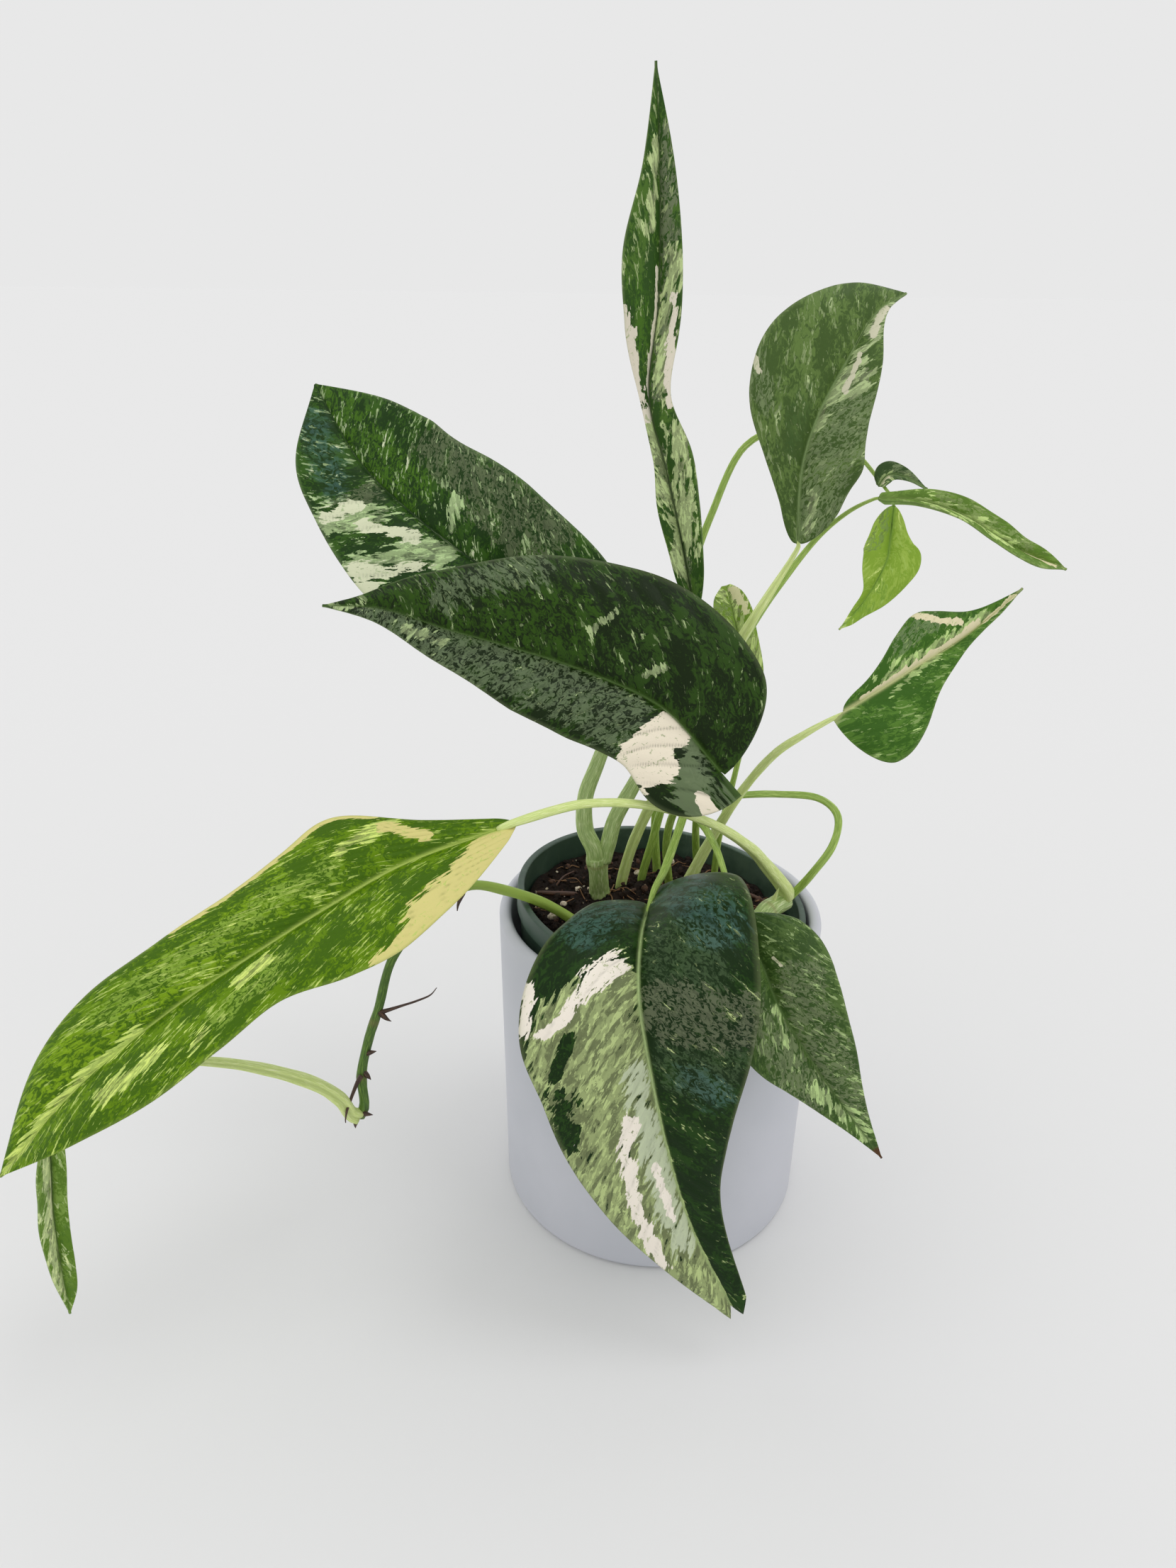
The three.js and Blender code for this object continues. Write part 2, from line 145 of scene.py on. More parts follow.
# Building materials
class Paint:
    def __init__(self, name):
        self.material = bpy.data.materials.new(name)
        self.material.use_nodes = True
        self.tree = self.material.node_tree
        self.shader = self.tree.nodes["Principled BSDF"]

    def add(self, kind, **settings):
        node = self.tree.nodes.new(kind)
        for key, value in settings.items():
            setattr(node, key, value)
        return node

    def join(self, source, target):
        if isinstance(source, (int, float, tuple)):
            target.default_value = source
        else:
            self.tree.links.new(source, target)

    def value(self, name):
        return self.add("ShaderNodeAttribute", attribute_name=name).outputs["Fac"]

    def place(self, name=None):
        if name:
            return self.add("ShaderNodeAttribute", attribute_name=name).outputs["Vector"]
        return self.add("ShaderNodeTexCoord").outputs["Object"]

    def stretch(self, vector, scale, shift=(0, 0, 0)):
        node = self.add("ShaderNodeMapping")
        self.join(vector, node.inputs["Vector"])
        node.inputs["Scale"].default_value = scale
        node.inputs["Location"].default_value = shift
        return node.outputs["Vector"]

    def noise(self, vector, scale, detail=4.0, rough=0.55, twist=0.0):
        node = self.add("ShaderNodeTexNoise")
        self.join(vector, node.inputs["Vector"])
        node.inputs["Scale"].default_value = scale
        node.inputs["Detail"].default_value = detail
        node.inputs["Roughness"].default_value = rough
        node.inputs["Distortion"].default_value = twist
        return node.outputs["Fac"]

    def math(self, kind, a, b):
        node = self.add("ShaderNodeMath", operation=kind)
        self.join(a, node.inputs[0])
        self.join(b, node.inputs[1])
        return node.outputs[0]

    def plus(self, a, b):
        return self.math("ADD", a, b)

    def times(self, a, b):
        return self.math("MULTIPLY", a, b)

    def step(self, value, low, high, to=1.0):
        node = self.add("ShaderNodeMapRange", interpolation_type="SMOOTHSTEP")
        self.join(value, node.inputs["Value"])
        node.inputs["From Min"].default_value = low
        node.inputs["From Max"].default_value = high
        node.inputs["To Max"].default_value = to
        return node.outputs["Result"]

    def mix(self, share, a, b):
        node = self.add("ShaderNodeMix", data_type="RGBA")
        self.join(share, node.inputs[0])
        self.join(a, node.inputs[6])
        self.join(b, node.inputs[7])
        return node.outputs[2]

    def relief(self, height, strength, distance):
        node = self.add("ShaderNodeBump")
        self.join(height, node.inputs["Height"])
        node.inputs["Strength"].default_value = strength
        node.inputs["Distance"].default_value = distance
        self.join(node.outputs["Normal"], self.shader.inputs["Normal"])

    def finish(self, color, roughness, **fixed):
        self.join(color, self.shader.inputs["Base Color"])
        self.join(roughness, self.shader.inputs["Roughness"])
        for key, value in fixed.items():
            self.shader.inputs[key].default_value = value
        return self.material


def srgb(r, g, b):
    return tuple(((v / 255 + 0.055) / 1.055) ** 2.4 if v > 10 else v / 3295 for v in (r, g, b)) + (1.0,)


# Leaf blades: a rib from stalk to tip and half widths to each side, in millimetres.
# A stroke is (share along, share across, to along, to across, half width in mm), and across runs from
# -1 at the left margin to 1 at the right one. cream, pale, grey and bright are painted in their tones,
# wash is a thin veil over the pale, paintedSheen a painted highlight (a bluish sheen of reflected sky),
# and keepDark a gap in the pale.
# creamEdge strips follow a margin: (share along, to share along, side, depth in mm at each end).
# lean is how far the side veins run forward for each millimetre outward.
bladeLook = {
    "steps": 180, "across": 76, "thickness": 0.75, "veinGap": 8.0, "keel": 1.5, "quilt": 0.55, "groove": 0.5,
    # the bluish sheen tone paints a reflection of the sky into the leaf colour
    "sway": 0.9, "paintedSheenTone": (76, 110, 106), "underTone": (112, 140, 78), "brownTone": (84, 58, 34),
}
patchKinds = ("cream", "pale", "grey", "bright", "keepDark", "wash", "paintedSheen")
deepest = 1.2  # how far inside or outside a patch its field still changes

leaves = {
    "leaf_centre": {
        "rib": [
            (18, -38, 224), (-4, -27, 245), (-32, -22, 257), (-58, -26, 267), (-84, -34, 277),
            (-104, -45, 287), (-122, -56, 291),
        ],
        "face": [(-0.1, -0.8, 0.6), (-0.1, -0.75, 0.65), (-0.1, -0.7, 0.7)],
        "left": [33, 28, 28, 28, 25, 18, 12, 6, 0],
        "right": [28, 38, 44, 43, 37, 27, 16, 5, 0],
        "lobeLeft": 12, "lobeRight": 2, "lean": 0.7, "veins": 1.0,
        "dark": (18, 35, 4), "mid": (42, 70, 16), "greyTone": (100, 116, 84), "paleTone": (142, 158, 112),
        "creamTone": (236, 226, 204), "fleck": 0.5, "sparse": 0.045, "midrib": (76, 104, 48),
        "cream": [(0.125, -0.16, 0.155, -0.92, 7.5), (0.09, -0.5, 0.11, -0.88, 5),
                  (0.01, -0.94, 0.01, -0.98, 2.6)],
        "wash": [(0.03, -0.75, 0.075, -0.12, 6)], "washTone": (106, 122, 88), "ragged": 0.4,
        "pale": [(0.78, -0.7, 0.68, -0.45, 2.2), (0.9, -0.2, 0.97, 0.1, 1.5), (0.36, 0.35, 0.33, 0.55, 1.4),
                 (0.23, 0.15, 0.2, 0.32, 1.3)],
        "grey": [(0.24, -0.5, 0.85, -0.6, 13), (0.02, -0.5, 0.06, -0.08, 6), (0.7, 0.5, 0.5, 0.85, 6)],
        "brightTone": (48, 80, 12), "bright": [(0.42, 0.4, 0.9, 0.3, 16)],
    },
    "leaf_upper_left": {
        "rib": [
            (-15, 25, 244), (-45, 24, 268), (-78, 26, 287), (-106, 32, 307), (-126, 40, 325), (-144, 52, 353),
        ],
        "face": [(-0.1, -0.8, 0.55), (-0.1, -0.8, 0.5), (-0.2, -0.85, 0.4)],
        "left": [16, 24, 30, 36, 39, 35, 29, 21, 0],
        "right": [18, 25, 32, 37, 37, 34, 32, 24, 0],
        "lean": 0.75, "veins": 0.7,
        "dark": (30, 58, 16), "mid": (54, 90, 24), "greyTone": (98, 110, 78),
        "paleTone": (156, 178, 126), "ragged": 1.15,
        "creamTone": (220, 224, 190), "fleck": 0.85, "midrib": (40, 62, 34),
        "cream": [(0.49, -0.4, 0.58, -0.9, 3), (0.54, -0.2, 0.65, -0.5, 2.2), (0.7, -0.4, 0.74, -0.85, 2.6),
                  (0.55, -0.9, 0.6, -0.95, 3)],
        "pale": [(0.47, -0.1, 0.6, -0.95, 6), (0.64, -0.3, 0.74, -0.95, 5), (0.45, -0.5, 0.45, -0.9, 5),
                 (0.49, 0.12, 0.52, 0.4, 2.4)],
        "grey": [(0.66, 0.8, 0.3, 0.75, 10), (0.46, 0.5, 0.3, 0.4, 7), (0.7, -0.2, 0.72, -0.6, 7)],
        "brightTone": (74, 114, 26), "bright": [(0.65, 0.2, 0.95, 0.1, 14)],
        # painted highlight: a bluish sheen of reflected sky toward the tip
        "paintedSheen": [(0.78, -0.5, 0.92, -0.5, 8)],
    },
    "leaf_top": {
        "rib": [
            (11, 22, 268), (4, 24, 299), (-3, 22, 325), (-11, 16, 353), (-9, 12, 385), (-10, 7, 420),
            (-13, 0, 456),
        ],
        "face": [(-0.2, -0.95, 0.1), (-0.2, -0.95, 0.1), (0.1, -0.95, 0.1), (0.2, -0.95, 0.1)],
        "left": [4, 6, 7, 4, 4, 13, 16, 7, 0],
        "right": [5, 9, 12, 13, 9, 9, 8, 5, 0],
        "fold": [25], "lean": 3.5, "veins": 0.2,
        "dark": (48, 80, 28), "mid": (78, 112, 42), "greyTone": (118, 128, 98),
        "paleTone": (164, 180, 126), "ragged": 0.9,
        "creamTone": (232, 224, 204), "fleck": 0.8, "midrib": (92, 112, 72),
        "cream": [(0.66, -1, 0.5, -0.8, 2.2), (0.5, -0.6, 0.46, -0.3, 2), (0.72, -0.14, 0.5, -0.02, 1.1),
                  (0.68, 0.7, 0.48, 0.9, 1.4)],
        "pale": [(0.9, -0.3, 0.78, -0.35, 2), (0.45, -0.3, 0.08, -0.1, 5), (0.74, 0.6, 0.5, 0.7, 3),
                 (0.42, 0.75, 0.15, 0.35, 4.5)],
        "grey": [(0.9, 0.5, 0.5, 0.5, 4), (0.4, -0.4, 0.1, 0, 5)],
        "brightTone": (70, 112, 28), "bright": [(0.7, -0.6, 0.58, -0.6, 5), (0.3, 0.8, 0.4, 0.9, 3)],
    },
    "leaf_upper_right": {
        "rib": [(50, 20, 298), (48, 14, 326), (52, 12, 347), (62, 16, 367), (72, 24, 382), (85, 34, 389)],
        "face": [(-0.05, -0.9, 0.3), (0, -0.9, 0.4), (0, -0.8, 0.6)],
        "left": [5, 8, 16, 27, 32, 29, 19, 8, 0],
        "right": [10, 17, 22, 20, 17, 12, 6, 2, 0],
        "fold": [14], "lean": 1.3, "veins": 0.5,
        "dark": (68, 92, 42), "mid": (98, 124, 62), "greyTone": (122, 140, 96), "paleTone": (150, 166, 118),
        "creamTone": (206, 204, 176), "fleck": 0.62, "midrib": (140, 164, 108),
        "cream": [(0.85, 0.45, 0.7, 0.5, 1.3), (0.62, 0.3, 0.5, 0.32, 1), (0.46, -1, 0.44, -0.9, 1)],
        "pale": [(0.88, 0.6, 0.7, 0.45, 3), (0.64, 0.35, 0.38, 0.02, 2), (0.58, 0.7, 0.5, 0.5, 3.5),
                 (0.14, 0.3, 0.04, 0.4, 1.6)],
        "grey": [(0.45, 0.6, 0.08, 0.5, 12), (0.46, -0.9, 0.4, -0.8, 5)],
        "brightTone": (64, 92, 44), "bright": [(0.4, -0.3, 0.3, -0.4, 6)],
    },
    "leaf_right_rolled": {
        "rib": [(77, 8, 318), (91, 4, 318), (106, 0, 314), (119, -2, 307), (132, -2, 300), (149, -2, 294)],
        "face": [(0, -0.7, 0.7), (0.2, -0.8, 0.5), (0.3, -0.8, 0.5)],
        "left": [2, 3, 5, 6, 6, 6, 5, 4, 0],
        "right": [2, 2, 3, 4, 5, 5, 6, 6, 0],
        "fold": [35], "round": 0.02, "lean": 4, "veins": 0.2,
        "dark": (94, 126, 48), "mid": (118, 150, 66), "greyTone": (140, 162, 96),
        "paleTone": (172, 192, 122),
        "creamTone": (228, 218, 176), "fleck": 0.5, "midrib": (150, 176, 100),
        "cream": [(0.8, 0.1, 0.93, 0.4, 1.8)],
        "pale": [(0.2, 0, 0.7, 0.2, 2.4), (0.95, 0, 1, 0.3, 1.5)],
        "grey": [(0.3, -0.5, 0.8, -0.4, 3)],
        "brightTone": (92, 132, 36), "bright": [(0.5, -0.8, 0.9, -0.6, 2.5)],
    },
    "leaf_right_wing": {
        "rib": [(79, 19, 321), (83, 20, 325), (90, 20, 324), (98, 18, 320)],
        "face": [(0, -0.9, 0.3)],
        "left": [2, 5, 4, 2, 0],
        "right": [2, 3, 2, 1, 0],
        "lean": 2, "veins": 0.2,
        "dark": (58, 82, 42), "mid": (86, 110, 64), "greyTone": (122, 138, 98), "paleTone": (168, 184, 128),
        "creamTone": (222, 216, 184), "fleck": 0.8, "midrib": (120, 146, 88),
        "cream": [(0.1, 0.2, 0.3, 0.2, 1)],
        "pale": [(0.0, 0, 0.4, 0.2, 1.6)],
        "grey": [(0.4, -0.3, 0.9, 0, 3)],
        "brightTone": (84, 116, 48), "bright": [(0.7, 0.5, 0.8, 0.5, 1)],
    },
    "leaf_right_hanging": {
        "rib": [(85, 15, 314), (85, 14, 300), (84, 12, 293), (79, 10, 282), (72, 8, 272), (67, 6, 267)],
        "face": [(-0.2, -0.95, 0.2)],
        "left": [3, 6, 11, 13, 11, 8, 4, 2, 0],
        "right": [5, 8, 10, 10, 8, 3, 2, 1, 0],
        "fold": [15], "lean": 1.6, "veins": 0.4,
        "dark": (136, 170, 56), "mid": (159, 188, 78), "greyTone": (122, 150, 80),
        "paleTone": (184, 212, 116),
        "creamTone": (206, 210, 150), "fleck": 0.35, "midrib": (140, 176, 80),
        "cream": [(0.96, 0, 1, 0, 0.6)],
        "pale": [(0.85, 0, 1, 0, 1.5)],
        "grey": [(0.05, 0.4, 0.3, 0.9, 4)],
        "brightTone": (110, 150, 46), "bright": [(0.6, -0.4, 0.8, 0, 5)],
    },
    "leaf_right": {
        "rib": [(66, -20, 242), (81, -19, 252), (94, -16, 260), (107, -12, 267), (121, -5, 275), (136, 4, 285)],
        "face": [(-0.2, -0.5, 0.85), (-0.3, -0.5, 0.8)],
        "left": [3, 5, 9, 14, 17, 14, 7, 3, 0],
        "right": [24, 27, 22, 14, 9, 5, 3, 2, 0],
        "foldLeft": [32], "foldRight": [-28, -26, -15, 5, 15], "lobeRight": 5, "lean": 1.8, "veins": 0.5,
        "dark": (56, 96, 26), "mid": (84, 124, 44), "greyTone": (112, 134, 88), "paleTone": (160, 184, 116),
        "creamTone": (226, 216, 178), "fleck": 0.55, "midrib": (196, 200, 142),
        "cream": [(0.1, -0.1, 0.75, -0.15, 1.5), (0.5, -1, 0.68, -0.5, 1.6), (0.78, 0, 0.95, 0, 1)],
        "pale": [(0.2, -0.4, 0.8, -0.4, 2.5), (0.2, 0.15, 0.5, 0.1, 1.5)],
        "grey": [(0.35, -0.8, 0.6, -0.8, 4)],
        "brightTone": (74, 116, 38), "bright": [(0.4, -0.7, 0.55, -0.6, 3)],
    },
    "leaf_behind": {
        "rib": [(36, 27, 226), (34, 29, 242), (30, 33, 259), (27, 37, 270), (25, 39, 276)],
        "face": [(0.1, -0.9, 0.2)],
        "left": [6, 9, 10, 10, 9, 9, 8, 6, 2],
        "right": [5, 7, 8, 8, 8, 8, 7, 5, 2],
        "fold": [15], "lean": 1.5, "veins": 0.4,
        "dark": (120, 152, 54), "mid": (146, 176, 78), "greyTone": (136, 156, 98),
        "paleTone": (180, 198, 126),
        "creamTone": (222, 218, 172), "fleck": 0.9, "midrib": (150, 176, 96),
        "cream": [(0.6, 0.7, 0.9, 0.6, 2)],
        "pale": [(0.2, 0.5, 0.9, 0.6, 4), (0.9, -0.4, 0.8, -0.3, 3)],
        "grey": [(0.3, -0.5, 0.8, -0.5, 5)],
        "brightTone": (96, 136, 40), "bright": [(0.4, 0, 0.6, 0, 3)],
    },
    "leaf_front": {
        "rib": [
            (-8, -44, 167), (-12, -74, 171), (-13, -94, 160), (-8, -101, 132), (-1, -105, 101), (9, -108, 67),
            (26, -112, 30),
        ],
        "face": [(0, -0.2, 0.9), (0, -0.6, 0.8), (0, -0.9, 0.4), (0.05, -0.95, 0.2), (0.05, -0.95, 0.2)],
        "left": [32, 42, 44, 42, 36, 25, 16, 11, 7],
        "right": [14, 24, 36, 44, 40, 36, 28, 17, 5],
        "foldLeft": [38, 22, 8, 6, 4], "foldRight": [16, 8, 6, 6, 4], "lobeLeft": 19, "lobeRight": 5,
        "cleft": 6, "lean": 1.0, "veins": 0.5,
        "dark": (16, 40, 6), "mid": (32, 62, 14), "greyTone": (98, 106, 80), "paleTone": (152, 166, 112),
        "creamTone": (240, 232, 218), "fleck": 0.4, "sparse": 0.05, "midrib": (172, 194, 132),
        "cream": [(0.26, 0.25, 0.29, 0.42, 4.5), (0.29, 0.42, 0.35, 0.62, 2.2), (0.35, 0.62, 0.37, 0.82, 1.4),
                  (0.32, 0.95, 0.36, 0.97, 3), (0.57, 0.3, 0.62, 0.42, 3), (0.62, 0.42, 0.74, 0.58, 2.6),
                  (0.74, 0.58, 0.87, 0.88, 2.4), (0.68, 0.2, 0.8, 0.22, 1.4)],
        "pale": [(0.3, 0.2, 0.42, 0.4, 11), (0.42, 0.45, 0.95, 0.5, 24)],
        "grey": [(0.35, -0.12, 0.4, -0.9, 13)],
        # here bright is a greyish tone on the right half: partly mottling, partly painted sheen where it curves up
        "brightTone": (66, 86, 56),
        "bright": [(0.25, -0.4, 0.47, -0.5, 18)],
        "keepDark": [(0.29, 0.75, 0.3, 0.88, 3.5), (0.38, 0.6, 0.44, 0.8, 2.4), (0.5, 0.82, 0.58, 0.92, 4.5),
                     (0.12, 0.5, 0.24, 0.95, 8)],
        "wash": [(0.48, 0.14, 0.85, 0.3, 5)], "washTone": (192, 202, 172), "ragged": 0.8,
        # painted highlight: a bluish sheen of reflected sky on the up-turned top lobes and on the right half
        "paintedSheen": [(0.03, -0.6, 0.2, -0.7, 12), (0.06, 0.5, 0.2, 0.7, 10), (0.5, -0.4, 0.55, -0.7, 8)],
    },
    "leaf_front_right": {
        "rib": [(27, -50, 168), (34, -69, 159), (40, -80, 147), (53, -86, 127), (67, -88, 107), (83, -90, 85)],
        "face": [(0.1, -0.7, 0.6), (0.1, -0.9, 0.4), (0.1, -0.95, 0.2)],
        "left": [14, 22, 25, 24, 21, 17, 11, 5, 0],
        "right": [16, 20, 22, 22, 20, 14, 9, 4, 0],
        "lean": 1.3, "veins": 0.8,
        "dark": (54, 80, 32), "mid": (82, 108, 52), "greyTone": (112, 126, 88), "paleTone": (150, 172, 114),
        "creamTone": (212, 210, 178), "fleck": 0.95, "midrib": (86, 112, 58),
        "cream": [(0.2, -0.2, 0.24, -0.25, 0.6)],
        "pale": [(0.66, 0.5, 0.8, 0.3, 2), (0.8, -0.1, 0.92, 0, 1.6), (0.4, 0.1, 0.5, 0.3, 1.5)],
        "grey": [(0.3, -0.5, 0.8, -0.3, 9), (0.4, 0.5, 0.7, 0.5, 8)],
        "brightTone": (64, 100, 30), "bright": [(0.7, -0.4, 0.9, 0, 5)],
        "brownTip": 0.955,
    },
    "leaf_left": {
        "rib": [
            (-58, -54.5, 209.5), (-95, -73, 203), (-120, -86, 193), (-146, -99, 180), (-172, -113, 166),
            (-200, -128, 146), (-225, -140, 119),
        ],
        "face": [(-0.1, -0.6, 0.8), (-0.1, -0.6, 0.8), (-0.2, -0.6, 0.8)],
        "left": [2, 23, 31, 29, 22, 25, 25, 16, 0],
        "right": [2, 13, 28, 27, 24, 23, 23, 16, 0],
        "round": 0.03,
        "lean": 3.4, "veins": 0.7, "grain": 1.6,
        "dark": (64, 100, 0), "mid": (98, 134, 2), "greyTone": (134, 166, 60), "paleTone": (182, 204, 104),
        "creamTone": (216, 207, 132), "fleck": 0.75, "midrib": (184, 206, 104),
        "cream": [(0.13, 0.5, 0.18, 0.75, 2.2)],
        "creamEdge": [(-0.05, 0.21, -1, 13, 11), (0.15, 0.33, -1, 11, 1.5), (0.18, 0.6, 1, 2, 1.5)],
        "pale": [(0.17, 0.85, 0.27, 0.5, 2.6), (0.72, 0.03, 0.98, 0, 2.2), (0.8, -0.52, 0.71, -0.52, 3.2),
                 (0.48, -0.28, 0.54, -0.36, 2.4), (0.62, -0.7, 0.66, -0.8, 1.5)],
        "grey": [(0.3, 0.4, 0.75, 0.5, 5), (0.45, -0.4, 0.6, -0.7, 4)],
        "brightTone": (130, 166, 24), "bright": [(0.4, 0.5, 0.9, 0.4, 9)],
    },
    "leaf_vine_end": {
        "rib": [(-221, -112, 126), (-225, -112, 98), (-228, -113, 75), (-229, -115, 50), (-228, -118, 29)],
        "face": [(0.75, -0.65, 0)],
        "left": [3, 4.5, 5, 5, 5, 5, 5, 4, 0],
        "right": [3, 5, 8, 8, 8, 7, 5.5, 3, 0],
        "fold": [30], "lean": 3, "veins": 0.3,
        "dark": (92, 128, 36), "mid": (128, 160, 70), "greyTone": (156, 178, 112),
        "paleTone": (186, 204, 140),
        "creamTone": (222, 224, 182), "fleck": 0.75, "midrib": (110, 138, 74),
        "cream": [(0.3, 0.2, 0.5, 0.3, 0.6)],
        "pale": [(0.05, 0.4, 0.85, 0.4, 5)],
        "grey": [(0.2, 0.5, 0.8, 0.5, 4)],
        "brightTone": (72, 108, 34), "bright": [(0.6, -0.5, 0.9, -0.4, 4)],
    },
}


def bladeSurface(leaf, t, u):
    # t and u are flat arrays; the answer is in millimetres
    side = np.where(u > 0, 1.0, np.where(u < 0, -1.0, 0.0))
    reach = np.abs(u)
    onRib = curveAt(leaf["rib"], t)
    tangent = unit(curveAt(leaf["rib"], t + 1e-4) - curveAt(leaf["rib"], t - 1e-4))
    facing = curveAt(leaf["face"], t)
    normal = unit(facing - tangent * np.sum(facing * tangent, axis=1, keepdims=True))
    across = np.cross(tangent, normal) * np.where(side == 0, 1, side)[:, None]
    start = leaf.get("round", 0.1)
    begin = np.where(t < start, np.sqrt(np.maximum(0, 1 - (1 - t / start) ** 2)), 1)
    right = u > 0
    width = np.maximum(0.4, np.where(right, along(leaf["right"], t), along(leaf["left"], t)) * begin)
    fold = leaf.get("fold", [8])
    foldRight, foldLeft = along(leaf.get("foldRight", fold), t), along(leaf.get("foldLeft", fold), t)
    angle = np.radians(np.where(right, foldRight, foldLeft))[:, None]
    outward = across * np.cos(angle) + normal * np.sin(angle)
    raised = normal * np.cos(angle) - across * np.sin(angle)
    lobe = np.where(right, leaf.get("lobeRight", 0), leaf.get("lobeLeft", 0))
    back = lobe * reach**1.5 * np.maximum(0, 1 - t / 0.25) ** 2
    camber = 0.4 * width * reach * (1 - reach)
    ending = np.clip((t - 0.88) / 0.12, 0, 1) ** 2  # where a split tip parts into two points
    forward = leaf.get("cleft", 0) * ending * (0.75 - np.abs(2 * reach - 0.9))
    place = onRib + outward * (width * reach)[:, None] + raised * camber[:, None]
    return place + tangent * (forward - back)[:, None], width


def strokeField(leaf, strokes, t, u, length, width):
    # above 0 inside a stroke and below 0 outside it; one that starts and ends on one half stays on it
    here = np.stack([t * length, u * width], axis=1)
    field = np.full(t.shape, -deepest)
    for fromT, fromU, toT, toU, half in strokes:
        ends = bladeSurface(leaf, np.array([fromT, toT]), np.array([fromU, toU]))[1]
        start = np.array([fromT * length, fromU * ends[0]])
        run = np.array([toT * length, toU * ends[1]]) - start
        share = np.clip((here - start) @ run / max(run @ run, 1e-6), 0, 1)
        gap = np.linalg.norm(here - start - share[:, None] * run, axis=1)
        if fromU * toU > 0:
            gap = np.where(u * fromU < 0, gap + 20 * np.abs(u) * width, gap)
        field = np.maximum(field, (half - gap) / min(half, 5))
    return np.minimum(field, deepest)


def edgeField(edges, t, u, length, width):
    # above 0 inside a strip along a margin and below 0 outside it
    field = np.full(t.shape, -deepest)
    for fromT, toT, side, fromDeep, toDeep in edges:
        deep = np.interp(t, [fromT, toT], [fromDeep, toDeep])
        strip = (deep - (1 - np.abs(u)) * width) / np.minimum(deep, 4)
        ending = np.minimum(t - fromT, toT - t) * length / 4
        strip = np.where(u * side > 0, np.minimum(strip, ending), -deepest)
        field = np.maximum(field, strip)
    return np.clip(field, -deepest, deepest)


def bladeMaterial(name, leaf):
    paint = Paint(name)
    flow = paint.place("flow")
    under = paint.value("under")
    grain = leaf.get("grain", 1)
    streak = paint.noise(paint.stretch(flow, (3.6 * grain, 1 / grain, 1)), 1, 5, 0.6, 0.5 / grain)
    fine = paint.noise(paint.stretch(flow, (7 * grain, 2.1 / grain, 1), (7, 3, 1)), 1, 3, 0.6, 0.7 / grain)
    mosaic = paint.noise(paint.stretch(flow, (5, 3.2, 1), (2, 9, 4)), 1, 4, 0.66, 1.4)
    broad = paint.noise(paint.stretch(flow, (1.1, 0.6, 1), (5, 2, 8)), 1, 3, 0.5)

    def tone(key, shade=1):
        return srgb(*[min(240, shade * c) for c in leaf[key]])

    def spread(source, amount):
        return paint.times(paint.math("SUBTRACT", source, 0.5), amount)

    jitter = paint.plus(spread(streak, 4.6), paint.plus(spread(fine, 1.8), spread(broad, 2.4)))

    def patch(kind, amount=1.0, soft=0.05):
        return paint.step(paint.plus(paint.value(kind), paint.times(jitter, amount)), 0.0, soft)

    dark, mid, paleTone = tone("dark"), tone("mid"), tone("paleTone")
    color = paint.mix(paint.step(paint.plus(mosaic, spread(broad, 0.9)), 0.44, 0.6), dark, mid)
    brightShare = paint.times(patch("bright", 1.0, 0.6), paint.step(mosaic, 0.42, 0.58, 0.75))
    color = paint.mix(brightShare, color, tone("brightTone"))
    color = paint.mix(paint.step(streak, 0.4, 0.3, 0.6), color, dark)
    grey = paint.mix(paint.step(fine, 0.5, 0.54), tone("greyTone"), tone("greyTone", 0.86))
    greyShare = paint.times(patch("grey", 1.0, 0.25), paint.step(mosaic, 0.46, 0.5, 0.85))
    color = paint.mix(greyShare, color, grey)
    fleckField = paint.plus(fine, paint.plus(spread(streak, 0.55), spread(broad, 0.35)))
    fleckFrom = 0.615 + leaf.get("sparse", 0)
    color = paint.mix(paint.step(fleckField, fleckFrom, fleckFrom + 0.015, leaf["fleck"]), color, paleTone)
    pale = paint.mix(paint.step(streak, 0.5, 0.46), paleTone, tone("paleTone", 0.72))
    pale = paint.mix(paint.step(mosaic, 0.55, 0.58, 0.7), pale, tone("paleTone", 0.86))
    pale = paint.mix(paint.step(fleckField, 0.565, 0.585, 0.85), pale, tone("paleTone", 1.22))
    color = paint.mix(patch("pale", 1.25), color, pale)
    if "wash" in leaf:
        color = paint.mix(paint.times(patch("wash", 1.0, 0.3), 0.85), color, tone("washTone"))
    color = paint.mix(patch("keepDark"), color, paint.mix(paint.step(mosaic, 0.5, 0.55), dark, mid))
    cream = paint.mix(paint.step(mosaic, 0.6, 0.63, 0.7), tone("creamTone"), paleTone)
    color = paint.mix(patch("cream", leaf.get("ragged", 0.6)), color, cream)
    # painted highlight: a bluish sheen of reflected sky where a leaf turns up toward the light
    if "paintedSheen" in leaf:
        paintedSheenShare = paint.times(patch("paintedSheen", 0.8, 1.2), paint.step(mosaic, 0.42, 0.56, 0.5))
        color = paint.mix(paintedSheenShare, color, srgb(*bladeLook["paintedSheenTone"]))
    color = paint.mix(paint.value("rib"), color, tone("midrib"))
    color = paint.mix(paint.times(paint.value("veinLine"), 0.5), color, dark)
    color = paint.mix(paint.times(paint.value("margin"), 0.25), color, paleTone)
    color = paint.mix(under, color, paint.mix(0.5, color, srgb(*bladeLook["underTone"])))
    color = paint.mix(paint.value("brown"), color, srgb(*bladeLook["brownTone"]))
    paint.relief(paint.plus(paint.times(mosaic, 0.5), streak), 0.4, 0.0006)
    roughness = paint.plus(paint.times(mosaic, 0.2), paint.plus(0.27, paint.times(under, 0.2)))
    return paint.finish(color, roughness, **{"Specular IOR Level": 0.13})


